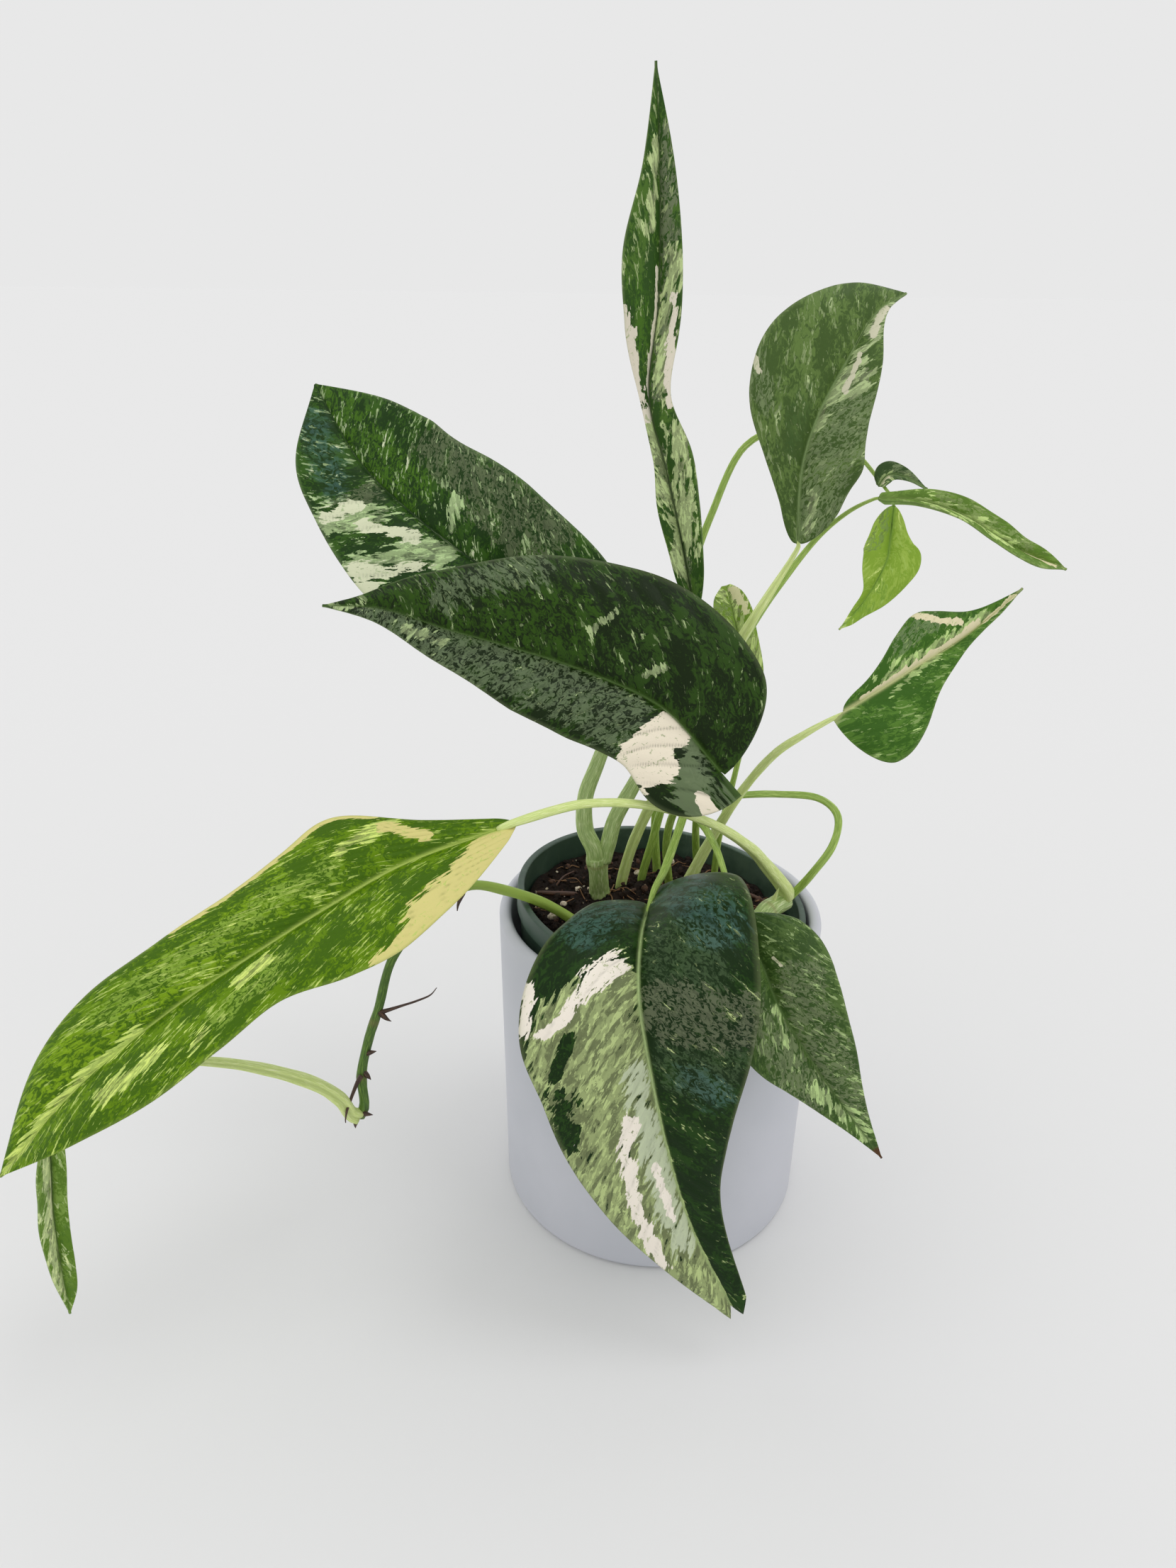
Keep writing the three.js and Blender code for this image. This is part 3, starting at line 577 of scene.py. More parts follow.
def makeBlade(name, leaf):
    deselectAll()
    steps, across = bladeLook["steps"], bladeLook["across"]
    bpy.ops.mesh.primitive_grid_add(x_subdivisions=steps, y_subdivisions=across, size=2)
    blade = bpy.context.object
    blade.name = name + "_fine"
    flat = getCo(blade.data)
    t = ((flat[:, 0] + 1) / 2) ** 1.25
    u = np.sign(flat[:, 1]) * np.abs(flat[:, 1]) ** 1.15
    place, width = bladeSurface(leaf, t, u)
    inner = np.clip(t, 0.004, 0.996)
    side = np.clip(np.abs(u), 0.02, 0.98) * np.where(u < 0, -1, 1)
    alongBlade = bladeSurface(leaf, inner + 0.004, u)[0] - bladeSurface(leaf, inner - 0.004, u)[0]
    acrossBlade = bladeSurface(leaf, inner, side + 0.02)[0] - bladeSurface(leaf, inner, side - 0.02)[0]
    up = unit(np.cross(acrossBlade, alongBlade))  # away from the underside

    length = np.sum(np.linalg.norm(np.diff(curveAt(leaf["rib"], np.linspace(0, 1, 60)), axis=0), axis=1))
    reach = np.abs(u)
    outMm = reach * width
    veinStart = t * length - leaf["lean"] * outMm * (1 + 0.25 * reach)
    wander = 0.3 * np.sin(veinStart / 17 + 2 * np.sign(u))
    phase = veinStart / bladeLook["veinGap"] + np.where(u > 0, 0.35, 0) + wander
    toVein = np.abs(phase - np.round(phase))
    inside = np.clip(np.minimum(outMm / 4, (1 - reach) * 4), 0, 1) * np.clip(width / 18, 0, 1)
    quilt = bladeLook["quilt"] * leaf["veins"] * (1 - bump(toVein, 0.2)) * inside
    groove = -bladeLook["groove"] * bump(outMm, 1.3) * (1 - 0.6 * t)
    seed = sum(map(ord, name))
    ripple = np.sin(11 * t + seed) + 0.6 * np.sin(23 * t + 2 * seed + 1.5 * np.sign(u))
    sway = bladeLook["sway"] * reach**2 * ripple * np.clip(width / 18, 0, 1)
    place = place + up * (quilt + groove + sway * np.sin(np.pi * t))[:, None]

    setCo(blade.data, place * mm)
    angle = math.atan2(1, leaf["lean"])  # of the side veins to the midrib
    across = np.sin(angle) * veinStart / 10
    outward = (np.cos(angle) * t * length + np.sin(angle) * outMm) / 10
    writeValues(blade.data, "flow", np.stack([across, outward, np.sign(u) * 3 + seed % 17], axis=1))
    writeValues(blade.data, "rib", bump(outMm, 0.95 * (1 - 0.5 * t)) * (1 - 0.3 * t))
    writeValues(blade.data, "veinLine", bump(toVein, 0.05) * inside * leaf["veins"])
    writeValues(blade.data, "margin", np.clip((reach - 0.955) / 0.04, 0, 1))
    writeValues(blade.data, "brown", np.clip((t - leaf.get("brownTip", 2)) / 0.01, 0, 1))
    for key in patchKinds:
        field = strokeField(leaf, leaf.get(key, []), t, u, length, width)
        if key == "cream":
            field = np.maximum(field, edgeField(leaf.get("creamEdge", []), t, u, length, width))
        writeValues(blade.data, key, field)
    before = len(blade.data.vertices)
    applyModifier(blade, "SOLIDIFY", thickness=bladeLook["thickness"] * mm, offset=0)
    co = getCo(blade.data)
    lower = slice(before, 2 * before)
    if np.mean(np.sum((co[lower] - co[:before]) * up, axis=1)) > 0:
        lower = slice(0, before)  # whichever shell lies away from the face is the underside
    under = np.zeros(len(co))
    under[lower] = 1
    keel = bladeLook["keel"] * bump(outMm, 1.2) * (1 - t) ** 0.7 * np.clip(t * 30, 0, 1)
    co[lower] -= up * (keel * mm)[:, None]
    setCo(blade.data, co)
    writeValues(blade.data, "under", under)
    smooth(blade)
    finishPiece(blade, "leaf_blade", bladeMaterial(name, leaf), name)


for leafName, leaf in leaves.items():
    makeBlade(leafName, leaf)
print("leaf blades done:", len(leaves))


# Stems and leaf stalks, from the soil or a node up to the blade
stalkLook = {"sides": 24, "steps": 90, "samples": 600, "tipShares": (0.02, 0.07), "tipUnder": 1.4, "tipRadius": 0.5}
stalks = {
    "main_stem": {
        "route": [(-24, 14, 112), (-26, 12, 138), (-27, 6, 156), (-28, 3, 166)],
        "radii": [4.6, 4.6, 4.3, 4.4], "rings": [0.93, 0.55], "groove": 0,
        "slot": "green_stem", "look": "waxy_stem",
    },
    "right_stem": {
        "route": [(26, -34, 120), (31, -29, 138), (43, -14, 147), (54, -4, 149)],
        "radii": [3.4, 3.6, 4, 4.3], "slot": "green_stem", "look": "waxy_stem", "rings": [0.8], "groove": 0,
    },
    "trailing_vine": {
        "route": [
            (-22, -14, 112), (-30, -13, 134), (-45, -16, 150), (-65, -20, 161), (-82, -24, 165), (-97, -33, 156),
            (-110, -42, 142), (-116, -49, 122), (-120, -53, 110), (-123, -58, 96), (-122, -62, 84), (-124, -64, 79),
        ],
        "radii": [2.2, 2.2, 2.2, 2, 1.8, 1.8, 1.9, 2], "slot": "dark_vine", "look": "vine_skin",
        "rings": [0.48, 0.79, 0.915, 0.985], "groove": 0.1, "young": [1, 1, 1, 0.6, 0, 0, 0],
    },
    "petiole_upper_left": {
        "from": (-28, 3, 162),
        "blade": "leaf_upper_left",
        "route": [
            (-29, 3, 169), (-33, 5, 178), (-33, 7, 192), (-28, 11, 206), (-20, 19, 226),
            (-16, 24, 241),
        ],
        "radii": [3.9, 3.5, 3, 2.3], "look": "waxy_stem",
    },
    "petiole_top": {
        "from": (-25, 3.5, 163),
        "blade": "leaf_top",
        "route": [(-23, 4, 171), (-20, 5, 183), (-12, 7, 199), (0, 12, 221), (9, 19, 247), (11, 22, 266)],
        "radii": [3.5, 3.2, 2.6, 1.8], "look": "waxy_stem",
    },
    "petiole_upper_right": {
        "blade": "leaf_upper_right",
        "route": [
            (-17, 20, 118), (-17, 19, 138), (-13, 17, 160), (-7, 16, 178), (2, 15, 200), (18, 11, 237), (31, 9, 266),
            (40, 12, 281), (50, 19, 296),
        ],
        "radii": [2.5, 2.4, 2.4, 2.1], "look": "pale_stalk", "groove": 0.35,
    },
    "petiole_rolled": {
        "blade": "leaf_right_rolled",
        "route": [
            (-7, 29, 118), (-7, 28, 138), (-3, 25, 160), (4, 24, 190), (18, 22, 230), (34, 22, 262), (43, 22, 278),
            (58, 26, 298), (69, 22, 310), (77, 11, 317.5),
        ],
        "radii": [2, 1.8, 1.6, 1.4], "look": "green_stalk",
    },
    "petiole_hanging": {
        "blade": "leaf_right_hanging",
        "route": [
            (1, 38, 118), (1, 37, 138), (-1, 34, 165), (0, 34, 195), (3, 38, 240), (10, 41, 279), (18, 44, 305),
            (30, 48, 331), (50, 48, 339), (70, 36, 333), (82, 20, 320), (85, 16, 315.5),
        ],
        "radii": [2, 1.8, 1.6, 1.3], "look": "green_stalk",
    },
    "petiole_centre": {
        "blade": "leaf_centre",
        "route": [
            (7, 26, 118), (6, 25, 138), (3, 14, 165), (4, 3, 185), (8, -14, 203), (14, -29, 217),
            (17, -36, 222),
        ],
        "radii": [2, 1.8, 1.7, 1.6], "look": "green_stalk",
    },
    "petiole_front": {
        "blade": "leaf_front",
        "route": [
            (21, 40, 118), (20, 38, 138), (17, 26, 165), (15, 12, 188), (11, 2, 194), (6, -8, 184),
            (0, -21, 173), (-5, -34, 170),
        ],
        "radii": [1.8, 1.7, 1.6, 1.7], "look": "green_stalk",
    },
    "petiole_right": {
        "blade": "leaf_right",
        "route": [
            (8, 10, 118), (9, 8, 138), (14, 6, 155), (24, 1, 182), (33, -6, 204), (42, -15, 222),
            (52, -19, 232), (61, -20, 238.4),
        ],
        "radii": [3, 2.8, 2.2, 1.8, 1.6], "look": "pale_stalk",
    },
    "petiole_behind": {
        "blade": "leaf_behind",
        "route": [(28, 30, 118), (27, 29, 138), (28, 27, 165), (33, 27, 195), (37, 27, 223)],
        "radii": [1.6, 1.5, 1.3], "look": "green_stalk",
    },
    "petiole_left": {
        "from": (53, -4, 149),
        "blade": "leaf_left",
        "route": [
            (53.5, -6.6, 155), (44, -9, 168), (34, -18, 182), (17, -30, 198), (-7, -42, 211),
            (-33, -49, 215), (-57, -56, 211), (-65, -57.5, 208),
        ],
        "radii": [3.6, 2.6, 2, 1.8, 1.8, 1.8], "look": "pale_stalk",
    },
    "petiole_front_right": {
        "from": (54, -3.5, 148),
        "blade": "leaf_front_right",
        "route": [
            (58, -3, 152), (64, -7, 164), (72, -4, 176), (75, 6, 185), (67, 13, 190), (50, 14, 191), (37, 11, 192),
            (28, 12, 190), (19, 9, 187), (15, 0, 186), (17, -14, 187), (20, -29, 185), (23, -41, 178), (26, -48.5, 170),
        ],
        "radii": [1.8, 1.6, 1.5, 1.5], "look": "green_stalk", "steps": 140,
    },
    "petiole_vine_end": {
        "from": (-124, -64.5, 80),
        "blade": "leaf_vine_end",
        "route": [
            (-127, -66, 83), (-130, -70, 94), (-139, -74, 105), (-155, -82, 118), (-171, -92, 129),
            (-192, -104, 138), (-210, -111, 139), (-220, -112, 128),
        ],
        "radii": [3, 2.5, 1.7, 1.3], "look": "pale_stalk", "groove": 0.4,
    },
}


def stalkMaterial(name, look):
    paint = Paint(name)
    grain = paint.place("grain")
    streak = paint.noise(paint.stretch(grain, (3.2, 3.2, 0.5)), 2.2, 5, 0.65, 0.3)
    speck = paint.noise(paint.stretch(grain, (5, 5, 2.2), (3, 1, 5)), 3.4, 3, 0.6)
    color = paint.mix(paint.step(streak, 0.4, 0.6), srgb(*look["deep"]), srgb(*look["skin"]))
    color = paint.mix(paint.step(streak, 0.56, 0.66, 0.75), color, srgb(*look["pale"]))
    color = paint.mix(paint.step(speck, 0.68, 0.74, 0.5), color, srgb(120, 100, 60))
    # painted shade: the groove along the stalk is painted in a darker deep tone
    color = paint.mix(paint.value("channel"), color, srgb(*[0.86 * c for c in look["deep"]]))
    color = paint.mix(paint.value("young"), color, srgb(*look.get("young", look["pale"])))
    color = paint.mix(paint.value("scar"), color, srgb(138, 112, 70))
    paint.relief(paint.plus(streak, paint.times(speck, 0.4)), 0.4, 0.0004)
    return paint.finish(color, paint.plus(0.36, paint.times(streak, 0.2)))


stalkLooks = {
    "pale_stalk": {"skin": (222, 236, 156), "deep": (200, 218, 130), "pale": (240, 242, 202)},
    "green_stalk": {"skin": (178, 206, 100), "deep": (134, 168, 66), "pale": (212, 228, 150)},
    "waxy_stem": {"skin": (190, 210, 138), "deep": (150, 178, 102), "pale": (226, 234, 192)},
    "vine_skin": {"skin": (92, 130, 34), "deep": (54, 86, 18), "pale": (136, 164, 74), "young": (170, 198, 84)},
    "root_skin": {"skin": (74, 48, 34), "deep": (44, 28, 22), "pale": (150, 112, 80)},
    "bark_skin": {"skin": (96, 62, 44), "deep": (54, 34, 26), "pale": (140, 98, 72)},
    "fibre_skin": {"skin": (160, 116, 74), "deep": (108, 74, 48), "pale": (200, 160, 114)},
}
stalkPaints = {}


def turnFrames(path, reference):
    # a side direction carried along the path with no twist
    tangents = unit(np.gradient(path, axis=0))
    side = reference - tangents[0] * np.dot(reference, tangents[0])
    side /= np.linalg.norm(side)
    sides = [side]
    for tangent in tangents[1:]:
        side = side - tangent * np.dot(side, tangent)
        side /= np.linalg.norm(side)
        sides.append(side)
    sides = np.array(sides)
    return sides, np.cross(tangents, sides)


def joined(stalk):
    # the route with a foot in what it grows from and a tip that runs on under the blade's midrib
    route, radii = list(stalk["route"]), list(stalk["radii"])
    if "from" in stalk:
        route.insert(0, stalk["from"])
    if "blade" in stalk:
        leaf = leaves[stalk["blade"]]
        for share in stalkLook["tipShares"]:
            onRib = curveAt(leaf["rib"], share)[0]
            facing = unit(curveAt(leaf["face"], share)[0])
            route.append(tuple(onRib - facing * stalkLook["tipUnder"]))
        radii.append(stalkLook["tipRadius"])
    return route, radii


def makeStalk(name, stalk, sides=stalkLook["sides"]):
    steps = stalk.get("steps", stalkLook["steps"])
    route, radii = joined(stalk)
    deselectAll()
    bpy.ops.mesh.primitive_cylinder_add(vertices=sides, radius=1, depth=2, end_fill_type="NGON")
    bar = bpy.context.object
    bar.name = name + "_fine"
    bpy.context.tool_settings.mesh_select_mode = (False, True, False)
    for vertex in bar.data.vertices:
        vertex.select = False
    for edge in bar.data.edges:
        a, b = (bar.data.vertices[v].co.z for v in edge.vertices)
        edge.select = abs(a - b) > 1
    for polygon in bar.data.polygons:
        polygon.select = False
    bpy.ops.object.mode_set(mode="EDIT")
    bpy.ops.mesh.select_mode(type="EDGE")
    bpy.ops.mesh.subdivide(number_cuts=steps)
    bpy.ops.object.mode_set(mode="OBJECT")
    flat = getCo(bar.data)
    t = (flat[:, 2] + 1) / 2
    angle = np.arctan2(flat[:, 1], flat[:, 0])

    fine = np.linspace(0, 1, stalkLook["samples"])
    path = curveAt(route, evenSteps(route, fine))
    sideways, other = turnFrames(path, np.array([-0.3, -0.8, 0.5]))
    index = np.round(t * (len(fine) - 1)).astype(int)
    radius = along(radii, t)
    length = np.sum(np.linalg.norm(np.diff(path, axis=0), axis=1))
    seed = sum(map(ord, name))
    scar = np.zeros_like(t)
    for ring in stalk.get("rings", []):
        swelling, pinch = bump(t - ring, 3.0 / length), bump(t - ring - 4 / length, 1.2 / length)
        radius = radius * (1 + 0.09 * swelling - 0.03 * pinch)
        scar = np.maximum(scar, bump(t - ring, 0.8 / length))
    depth = stalk.get("groove", 0.22)
    channel = bump(angle, 0.42)
    wings = bump(angle - 0.75, 0.3) + bump(angle + 0.75, 0.3)
    radius = radius * (1 - depth * channel + 0.35 * depth * wings)
    radius = radius * (1 + 0.03 * np.sin(7 * t * length / 20 + seed) * np.cos(2 * angle + seed))
    spread = (np.cos(angle) * radius)[:, None] * sideways[index]
    spread = spread + (np.sin(angle) * radius)[:, None] * other[index]
    setCo(bar.data, (path[index] + spread) * mm)
    grain = np.stack([np.cos(angle), np.sin(angle), t * length / 5 + seed % 13], axis=1)
    writeValues(bar.data, "grain", grain)
    # the groove's share, which the stalk paint darkens as painted shade
    writeValues(bar.data, "channel", channel * min(1, depth * 1.6))
    writeValues(bar.data, "scar", scar * 0.4)
    writeValues(bar.data, "young", 0.85 * along(stalk.get("young", [0, 0]), t))
    smooth(bar)
    return bar


def stalkPaint(lookName):
    if lookName not in stalkPaints:
        stalkPaints[lookName] = stalkMaterial(lookName, stalkLooks[lookName])
    return stalkPaints[lookName]


for stalkName, stalk in stalks.items():
    slotName = stalk.get("slot", "leaf_stalk")
    finishPiece(makeStalk(stalkName, stalk), slotName, stalkPaint(stalk["look"]), stalkName)
print("stems and stalks done:", len(stalks))


# Aerial roots and root tips on the vine, a bud sheath, and the litter on the soil
bits = {
    "vine_root_nib": {"route": [(-83, -24, 162), (-85, -24, 157), (-85.5, -25, 154)], "radii": [1.2, 0.8, 0.2]},
    "vine_root_upper": {
        "route": [
            (-115, -50, 121), (-112, -50, 122), (-106, -51, 125), (-100, -52, 128), (-94, -53.5, 132),
            (-91, -54, 136),
        ],
        "radii": [1, 0.7, 0.5, 0.45, 0.35, 0.15],
    },
    "vine_root_lower": {
        "route": [
            (-122.5, -60, 97), (-124, -62, 95), (-125.5, -66, 92), (-127, -70, 88), (-127.5, -72, 85),
            (-127.5, -72.5, 83.5),
        ],
        "radii": [1.1, 0.8, 0.65, 0.5, 0.2],
    },
    "bark_strip": {
        "route": [(-54, 7, 144.8), (-43, 8, 143.7), (-31, 9, 142.9)],
        "radii": [0.8, 1.2, 0.7], "look": "bark_skin",
    },
    "twig_right": {
        "route": [(38, 24, 137.2), (44, 20, 136.7), (50, 16, 135.9)],
        "radii": [0.7, 1, 0.6], "look": "bark_skin",
    },
    "rootlet_left": {
        "route": [(-47, 12, 143.5), (-44, 16, 146), (-42, 21, 145.6), (-38, 28, 144)],
        "radii": [0.5, 0.4], "look": "bark_skin",
    },
}
stubs = [
    [(-115.5, -50, 121), (-112.5, -51.5, 119), (-110.5, -52, 118)],
    [(-121.5, -55, 104), (-119, -56, 105.5), (-116.5, -56.5, 106.5)],
    [(-122, -58, 97), (-120, -59, 95.5), (-119, -59.5, 94.5)],
    [(-123.5, -64, 81), (-120.5, -65, 81.5), (-118, -65.5, 81.5)],
    [(-125, -64.5, 79), (-125.5, -65.5, 76.5), (-125.5, -66, 75)],
]
stubShape = {"radii": [1.3, 1, 0.12], "look": "root_skin", "steps": 16, "groove": 0}

for bitName, bit in bits.items():
    bit = {"look": "root_skin", "groove": 0, "steps": 40, **bit}
    slotName = "bark" if bit["look"] == "bark_skin" else "aerial_root"
    finishPiece(makeStalk(bitName, bit, 12), slotName, stalkPaint(bit["look"]), bitName)
for i, route in enumerate(stubs, 1):
    stub = makeStalk(f"vine_stub_{i}", {"route": route, **stubShape}, 12)
    finishPiece(stub, "aerial_root", stalkPaint("root_skin"))
sheath = {"route": [(47, -9, 146), (48, -9.5, 152), (50, -9, 158)], "radii": [1.6, 1.1, 0.12], "steps": 30}
finishPiece(makeStalk("bud_sheath", sheath, 16), "leaf_stalk", stalkPaint("pale_stalk"))
print("roots and litter done:", len(bits) + len(stubs))


# Pots: turned profiles that start and end on the axis
potLook = {
    "cover": {
        "lip": 70, "foot": 68.5, "height": 144, "wall": 5.2, "floor": 6, "edge": 2.6, "footRound": 3, "inside": 4,
        "outerWall": [(69, 50), (69.5, 95)], "innerWall": [(64.3, 95), (63.8, 50)],
    },
    "nursery": {
        "rim": 63, "base": 46, "height": 138.5, "wall": 1.2, "rimWidth": 3, "rimDepth": 9, "rimRound": 0.8,
        "floor": 4, "raised": 2, "holes": 8, "holeRadius": 5, "holeCircle": 34,
    },
    "centre": (0.8, 0.2, 149.2), "lean": (0.093, -0.016, 1), "segments": 160,
}
potTurn = Vector((0, 0, 1)).rotation_difference(Vector(potLook["lean"]).normalized()).to_matrix()


def arc(x, z, radius, start, end, steps):
    angles = np.radians(np.linspace(start, end, steps))
    return [(x + radius * math.cos(a), z + radius * math.sin(a)) for a in angles]


def inPot(points):
    return np.asarray(points) @ np.array(potTurn).T + np.array(potLook["centre"])


def turnPot(name, profile):
    # each ring of a sphere takes one point of the profile
    deselectAll()
    rings = len(profile) - 1
    bpy.ops.mesh.primitive_uv_sphere_add(segments=potLook["segments"], ring_count=rings, radius=1)
    pot = bpy.context.object
    pot.name = name + "_fine"
    co = getCo(pot.data)
    ring = np.round(np.arccos(np.clip(-co[:, 2], -1, 1)) / math.pi * rings).astype(int)
    turn = np.arctan2(co[:, 1], co[:, 0])
    point = np.array(profile, float)[ring]
    turned = np.stack([point[:, 0] * np.cos(turn), point[:, 0] * np.sin(turn), point[:, 1]], axis=1)
    return pot, turned


def roundEdges(pot, degrees=35):
    deselectAll()
    pot.select_set(True)
    bpy.context.view_layer.objects.active = pot
    bpy.ops.object.shade_smooth_by_angle(angle=math.radians(degrees))


cover = potLook["cover"]
coverProfile = [(0, 0), (cover["foot"] - cover["footRound"] - 1, 0)]
coverProfile += arc(cover["foot"] - cover["footRound"], cover["footRound"], cover["footRound"], -90, 0, 8)
coverProfile += cover["outerWall"]
edge, inside = cover["edge"], cover["inside"]
coverProfile += arc(cover["lip"] - edge, cover["height"] - edge, edge, 0, 180, 18)
innerFoot = cover["foot"] - cover["wall"]
coverProfile += cover["innerWall"]
coverProfile += arc(innerFoot - inside, cover["floor"] + inside, inside, 0, -90, 8)
coverProfile += [(0, cover["floor"])]
coverPot, turned = turnPot("cover_pot", coverProfile)
setCo(coverPot.data, turned * mm)
roundEdges(coverPot)

glaze = Paint("white_glaze")
cloud = glaze.noise(glaze.place(), 18, 4, 0.5)
speck = glaze.noise(glaze.place(), 260, 3, 0.6)
glazeColor = glaze.mix(glaze.step(cloud, 0.3, 0.7), (0.535, 0.55, 0.6, 1), (0.575, 0.585, 0.635, 1))
glazeColor = glaze.mix(glaze.step(speck, 0.72, 0.78, 0.25), glazeColor, (0.42, 0.43, 0.46, 1))
glaze.relief(cloud, 0.15, 0.0006)
glaze.finish(glazeColor, glaze.plus(0.38, glaze.times(cloud, 0.12)))
finishPiece(coverPot, "glazed_ceramic", glaze.material, "cover_pot")

nursery = potLook["nursery"]
rim, rimRound, rimDepth, wall = (nursery[key] for key in ("rim", "rimRound", "rimDepth", "wall"))
base, deep = nursery["base"], -nursery["height"]
innerRim = rim - nursery["rimWidth"]
nurseryProfile = [(0, deep + nursery["raised"]), (base - 8, deep + nursery["raised"]), (base - 5, deep)]
nurseryProfile += arc(base - 2, deep + 2, 2, -90, 0, 6)
nurseryProfile += [(innerRim + wall, -rimDepth - 1.5), (rim - 0.4, -rimDepth)]
nurseryProfile += arc(rim - rimRound, -rimRound, rimRound, 0, 90, 6)
nurseryProfile += arc(innerRim + rimRound, -rimRound, rimRound, 90, 180, 6)
nurseryProfile += [(innerRim, -rimDepth), (base - wall, deep + nursery["floor"]), (0, deep + nursery["floor"])]
nurseryPot, turned = turnPot("nursery_pot", nurseryProfile)
setCo(nurseryPot.data, turned * mm)
deselectAll()
for i in range(nursery["holes"]):
    turn = 2 * math.pi * i / nursery["holes"]
    across, away = nursery["holeCircle"] * math.cos(turn), nursery["holeCircle"] * math.sin(turn)
    spot = (across * mm, away * mm, (deep + 3) * mm)
    bpy.ops.mesh.primitive_cylinder_add(vertices=32, radius=nursery["holeRadius"] * mm, depth=12 * mm, location=spot)
    drill = bpy.context.object
    deselectAll()
    applyModifier(nurseryPot, "BOOLEAN", operation="DIFFERENCE", object=drill)
    bpy.data.objects.remove(drill, do_unlink=True)
setCo(nurseryPot.data, inPot(getCo(nurseryPot.data) / mm) * mm)
roundEdges(nurseryPot)

plastic = Paint("nursery_plastic")
dust = plastic.noise(plastic.place(), 45, 5, 0.65)
scuff = plastic.noise(plastic.stretch(plastic.place(), (1, 1, 0.18)), 320, 4, 0.6)
plasticColor = plastic.mix(plastic.step(dust, 0.42, 0.68), (0.04, 0.076, 0.052, 1), (0.075, 0.12, 0.088, 1))
plasticColor = plastic.mix(plastic.step(scuff, 0.6, 0.68, 0.4), plasticColor, (0.12, 0.17, 0.13, 1))
plastic.relief(scuff, 0.2, 0.0003)
plastic.finish(plasticColor, plastic.plus(0.34, plastic.times(dust, 0.25)))
finishPiece(nurseryPot, "green_plastic", plastic.material, "nursery_pot")
print("pots done")


# Potting mix: a lumpy top in the nursery pot, loose crumbs, fibres and perlite
soilLook = {
    "below": 11, "crown": 2.5, "lump": 1.2, "radius": 58.3, "bottom": -134.1, "bottomRadius": 43.9, "grid": 190,
}
litter = {
    "soil_crumbs": {"count": 1500, "small": 0.4, "large": 2.2, "facets": 1, "slot": "potting_mix"},
    "bark_chips": {"count": 160, "small": 0.6, "large": 2.6, "facets": 1, "slot": "bark"},
    "perlite_dust": {"count": 60, "small": 0.4, "large": 1.0, "facets": 2, "slot": "perlite"},
    "soil_fibres": {"count": 60, "reach": 52, "edge": 56, "step": 3.5, "wander": 0.5},
}
scatter = np.random.default_rng(7)


def soilTop(x, y):
    broad = np.sin(x * 0.19 + 1) * np.cos(y * 0.23) + 0.6 * np.sin(x * 0.41 - y * 0.37)
    share = np.minimum(np.hypot(x, y) / soilLook["radius"], 1)
    lumps = np.array([
        1.5 * noise.noise(Vector((a / 6, b / 6, 3))) + noise.noise(Vector((a / 2.4, b / 2.4, 9)))
        + 0.6 * noise.noise(Vector((a, b, 1))) for a, b in zip(x, y)
    ])
    level = -soilLook["below"] + soilLook["crown"] * (1 - share) + soilLook["lump"] * broad
    return level + lumps * np.clip(6 * (1.05 - share), 0, 1)


deselectAll()
bpy.ops.mesh.primitive_grid_add(x_subdivisions=soilLook["grid"], y_subdivisions=soilLook["grid"], size=2)
soil = bpy.context.object
soil.name = "potting_soil_fine"
square = getCo(soil.data)
sx, sy = square[:, 0], square[:, 1]
wide = np.abs(sx) > np.abs(sy)
safeX, safeY = np.where(sx == 0, 1, sx), np.where(sy == 0, 1, sy)
radius = np.where(wide, sx, sy)
turn = np.where(wide, math.pi / 4 * sy / safeX, math.pi / 2 - math.pi / 4 * sx / safeY)
discX, discY = radius * np.cos(turn), radius * np.sin(turn)
flatTop = np.stack([discX, discY, np.zeros_like(discX)], axis=1) * soilLook["radius"]
flatTop[:, 2] = soilTop(flatTop[:, 0], flatTop[:, 1])
setCo(soil.data, inPot(flatTop) * mm)
topCount = len(soil.data.vertices)
applyModifier(soil, "SOLIDIFY", thickness=2 * mm, offset=-1)
whole = getCo(soil.data)
shrink = soilLook["bottomRadius"] / soilLook["radius"]
flatBottom = flatTop * (shrink, shrink, 0) + (0, 0, soilLook["bottom"])
shells = slice(0, topCount), slice(topCount, 2 * topCount)
above, below = shells if whole[shells[1], 2].mean() < whole[shells[0], 2].mean() else shells[::-1]
whole[below], whole[above] = inPot(flatBottom) * mm, inPot(flatTop) * mm
setCo(soil.data, whole)
smooth(soil)

mix = Paint("potting_mix")
grain = mix.noise(mix.place(), 900, 6, 0.75)
damp = mix.noise(mix.place(), 90, 4, 0.6)
mixColor = mix.mix(mix.step(grain, 0.35, 0.65), (0.004, 0.003, 0.0025, 1), (0.028, 0.014, 0.009, 1))
mixColor = mix.mix(mix.step(damp, 0.5, 0.7, 0.6), mixColor, (0.045, 0.024, 0.015, 1))
mix.relief(grain, 0.8, 0.0012)
mix.finish(mixColor, 0.9, **{"Specular IOR Level": 0.3})
finishPiece(soil, "potting_mix", mix.material, "potting_soil")


